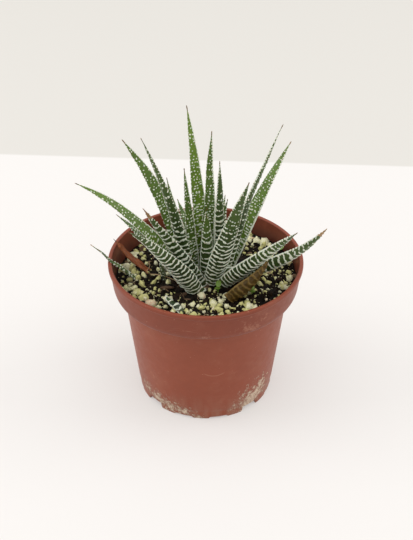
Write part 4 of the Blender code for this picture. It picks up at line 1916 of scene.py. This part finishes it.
    def fibres(self, random: np.random.Generator) -> Surface:
        """Roots and fibres: the long ones listed one by one, and fine ones.

        A long one has knots in millimetres, with their heights over the mix, a radius and a tone.

        Args:
            random: where the draws come from.

        Returns:
            All of them as one surface.
        """
        by_hand = [
            ([(-30, -1, 1.0), (-24, -5, 2.8), (-18, -8, 2.2), (-12, -12, 0.6)], 0.30, 0.85),
            ([(-30, 12, 0.2), (-31, 8, 3.0), (-30.5, 4, 2.6), (-33, 1, 0.4)], 0.28, 0.80),
            ([(11, 10, 1.0), (14, 13, 5.0), (16, 17, 9.0), (17.5, 21, 10.5)], 0.22, 0.85),
            ([(12, 14, 0.5), (15, 15, 5.0), (16.5, 19, 7.5)], 0.18, 0.80),
            ([(24, 44, 1.0), (28, 45.2, 5.0), (32, 44, 8.0), (33.5, 42.5, 5.0), (31, 43, 2.5)], 0.28, 0.75),
            ([(26, 8, 0.5), (31, 4, 4.0), (33, 0, 2.5), (37, -3, 0.5)], 0.20, 0.8),
            ([(22, 2, 0.5), (27, -1, 5.0), (31, 2, 6.0), (36, 6, 0.5)], 0.18, 0.8),
            ([(-8, -14, 1.2), (-3, -15.5, 1.8), (3, -15, 0.8)], 0.20, 0.7),
        ]
        strands = []
        for knots, radius, tone in by_hand:
            path = smooth_path([(x, y, 0.0) for x, y, _ in knots], 26)
            lifts = smooth_path([(x, 0.0, lift) for x, _, lift in knots], 26)[:, 2]
            path[:, 2] = self.level_at(path[:, 0], path[:, 1]) + lifts
            taper = radius * MM * (1 - 0.55 * np.linspace(0, 1, len(path)))
            strands.append(strand(path, taper, 7, tone))
        return Surface.together(strands + self.fine_fibres(random))

    def fine_fibres(self, random: np.random.Generator) -> list[Surface]:
        """Fine fibres: arcs of random length and heading that lie on the mix with their middles up.

        Args:
            random: where the draws come from.

        Returns:
            Each fibre, without those that would reach the wall.
        """
        strands = []
        share = np.linspace(-0.5, 0.5, 10)
        for x, y in self.scatter_evenly(90, random):
            length, heading, lift, curl = random.random(4)
            angle = heading * FULL_TURN + (curl - 0.5) * 3.0 * share
            steps = (2.5 + 7 * length) * MM * share
            path = np.stack([x + steps * np.cos(angle), y + steps * np.sin(angle), 0 * share], axis=-1)
            if np.hypot(path[:, 0], path[:, 1]).max() > 46 * MM:
                continue
            path[:, 2] = self.height_at(path[:, 0], path[:, 1]).mean() + 0.5 * MM
            path[:, 2] += (1 - 4 * share**2) * lift * 1.2 * MM
            radius = np.full(len(share), (0.07 + 0.07 * curl) * MM)
            strands.append(strand(path, radius, 5, 0.25 + 0.6 * lift))
        return strands

    def seedling(self, x: float, y: float, rise: float, radius: float, turn: float) -> list[Surface]:
        """One seedling: a thin stem with two round, dished leaves.

        A leaf is a flat ball, whose points rise by 0.12 times their squared distance from the stem.

        Args:
            x: its place along X, in millimetres.
            y: its place along Y.
            rise: the stem's height.
            radius: the leaves' radius.
            turn: the heading of the first leaf, in degrees.

        Returns:
            The stem and the leaves.
        """
        foot = float(self.level_at(np.array(x * MM), np.array(y * MM)))
        path = np.array([(x * MM, y * MM, foot + share * rise * MM) for share in (-0.3, 0.0, 0.5, 1.0)])
        pieces = [strand(path, np.full(len(path), 0.28 * MM), 6, 0.5)]
        shape = ball(8, 14)
        for side in (0, 1):
            angle = math.radians(turn + 180 * side)
            out = np.array([math.cos(angle), math.sin(angle), 0.35 - 0.25 * side])
            across = np.array([-math.sin(angle), math.cos(angle), 0.0])
            up = np.cross(out / np.linalg.norm(out), across)
            local = shape.points * np.array([1.0, 0.82, 0.16]) + np.array([0.95, 0, 0])
            dished = local[:, 2] + 0.12 * (local[:, 0] ** 2 + local[:, 1] ** 2)
            points = local[:, :1] * out + local[:, 1:2] * across + dished[:, None] * up
            tone = {"tone": np.full(len(points), 0.5)}
            pieces.append(Surface(path[-1] + points * radius * MM, shape.quads, shape.triangles, tone))
        return pieces

    def seedlings(self) -> Surface:
        """The seedlings, listed one by one, in millimetres.

        Returns:
            All of them as one surface.
        """
        listed = (
            (6.6, -17.0, 3.0, 1.9, 80.0), (24.6, -19.0, 2.6, 1.8, 95.0), (43.0, 6.0, 2.2, 1.6, 20.0),
            (40.0, 19.0, 2.5, 2.0, 10.0), (-15.0, 33.0, 2.4, 1.5, 40.0),
        )
        return Surface.together([piece for row in listed for piece in self.seedling(*row)])

    def build(self, effects: Effects) -> None:
        """Makes the mix and everything in it, each kind as one piece.

        Args:
            effects: the shared effects.
        """
        random = np.random.default_rng(self.seed)
        peat, fibre = Peat().material(effects), Fibre().material(effects)
        bed = self.surface().to_object("peat_bed", peat)
        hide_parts("potting_mix")
        pieces = [
            bed,
            self.crumbs(random).to_object("peat_crumbs", peat),
            self.grit(random).to_object("pumice_grit", Grit().material()),
            self.bark(random).to_object("bark_chips", fibre),
            self.fibres(random).to_object("root_fibres", fibre),
            self.seedlings().to_object("seedlings", Sprout().material(effects)),
        ]
        for obj in pieces:
            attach(obj, "root")
            log.info("%s: %d faces", obj.name, len(obj.data.polygons))


# ---------------- the studio


@dataclass(frozen=True)
class Lamp:
    """A square soft light that looks at the pot.

    Attributes:
        name: its name.
        azimuth: where it stands, in degrees.
        height: its height.
        away: its distance from the axis.
        size: its side.
        power: its power in watts.
    """

    name: str
    azimuth: float
    height: float
    away: float
    size: float
    power: float

    def build(self) -> None:
        """Makes the light and aims it at the middle of the object."""
        data = bpy.data.lights.new(self.name, "AREA")
        data.size = self.size
        data.energy = self.power
        obj = bpy.data.objects.new(self.name, data)
        angle = math.radians(self.azimuth)
        obj.location = (self.away * math.cos(angle), self.away * math.sin(angle), self.height)
        aim = Vector((0, 0, 0.08)) - obj.location
        obj.rotation_euler = aim.to_track_quat("-Z", "Y").to_euler()
        bpy.context.scene.collection.objects.link(obj)


LAMPS = (
    Lamp("overhead_light", 270, 1.7, 0.25, 2.0, 9),
    Lamp("left_light", 178, 0.9, 1.3, 1.0, 9),
    Lamp("right_light", 5, 0.9, 1.3, 1.0, 7),
)


@dataclass(frozen=True)
class Studio:
    """A pale table with the wall's tone beyond its far edge, soft light, and the camera.

    The edge crosses the middle at edge_y and climbs by edge_slant to the right, over edge_blur.
    """

    table: Colour = (0.436, 0.424, 0.414)
    wall: Colour = (0.377, 0.366, 0.346)
    bounce: float = 0.83
    half_size: float = 6.0
    edge_y: float = 0.246
    edge_slant: float = -0.060
    edge_blur: float = 0.0015
    sky: Colour = (1.0, 0.985, 0.96)
    sky_strength: float = 0.92
    lens: float = 80.0
    sensor_width: float = 36.0
    target: tuple[float, float, float] = (0.0005, 0.0, 0.0743)
    distance: float = 0.6504
    elevation: float = 35.34

    def floor(self) -> None:
        """The table: a flat sheet under the pot, with a tone step at its far edge.

        It also glows a little, as bounce does for the light of the white walls all round it.
        """
        mesh = bpy.data.meshes.new("table_top")
        h = self.half_size
        mesh.from_pydata([(-h, -h, 0), (h, -h, 0), (h, h, 0), (-h, h, 0)], [], [(0, 1, 2, 3)])
        fixed = {"Specular IOR Level": 0.0, "Emission Strength": self.bounce}
        material, s, shader = new_material("table_paint", fixed)
        place = s.place()
        climb = s.math("MULTIPLY", s.coordinate(place, "X"), -self.edge_slant)
        beyond = s.math("ADD", s.coordinate(place, "Y"), climb)
        past_edge = s.step(beyond, self.edge_y - self.edge_blur, self.edge_y + self.edge_blur)
        paint = s.mix(past_edge, self.table, self.wall)
        s.put(shader.inputs["Base Color"], paint)
        s.put(shader.inputs["Emission Color"], paint)
        mesh.materials.append(material)
        obj = bpy.data.objects.new("table_top", mesh)
        bpy.context.scene.collection.objects.link(obj)

    def room(self) -> None:
        """The even light that comes from all round."""
        world = bpy.data.worlds.new("soft_room")
        world.use_nodes = True
        sky = world.node_tree.nodes["Background"]
        sky.inputs["Color"].default_value = (*self.sky, 1.0)
        sky.inputs["Strength"].default_value = self.sky_strength
        bpy.context.scene.world = world

    def camera(self) -> None:
        """The camera: in front of the target, above it by the elevation, and looking at it."""
        data = bpy.data.cameras.new("camera")
        data.lens = self.lens
        data.sensor_width = self.sensor_width
        camera = bpy.data.objects.new("camera", data)
        tilt = math.radians(self.elevation)
        back = Vector((0, -math.cos(tilt), math.sin(tilt)))
        camera.location = Vector(self.target) + back * self.distance
        camera.rotation_euler = (-back).to_track_quat("-Z", "Y").to_euler()
        bpy.context.scene.collection.objects.link(camera)
        bpy.context.scene.camera = camera

    def build(self) -> None:
        """Makes the table, the lights, the room's light and the camera."""
        bpy.context.scene.view_settings.view_transform = "Standard"
        self.floor()
        for lamp in LAMPS:
            lamp.build()
        self.room()
        self.camera()


def main() -> None:
    """Builds the pot, the mix and the plant, and then the studio round them."""
    logging.basicConfig(level=logging.INFO, format="%(message)s")
    effects = Effects(make_mottle(), make_grain(), make_patch())
    pot = Pot()
    pot.build(effects)
    mix = PottingMix(pot)
    mix.build(effects)
    Rosette(mix).build(effects)
    Studio().build()


if __name__ == "__main__":
    main()
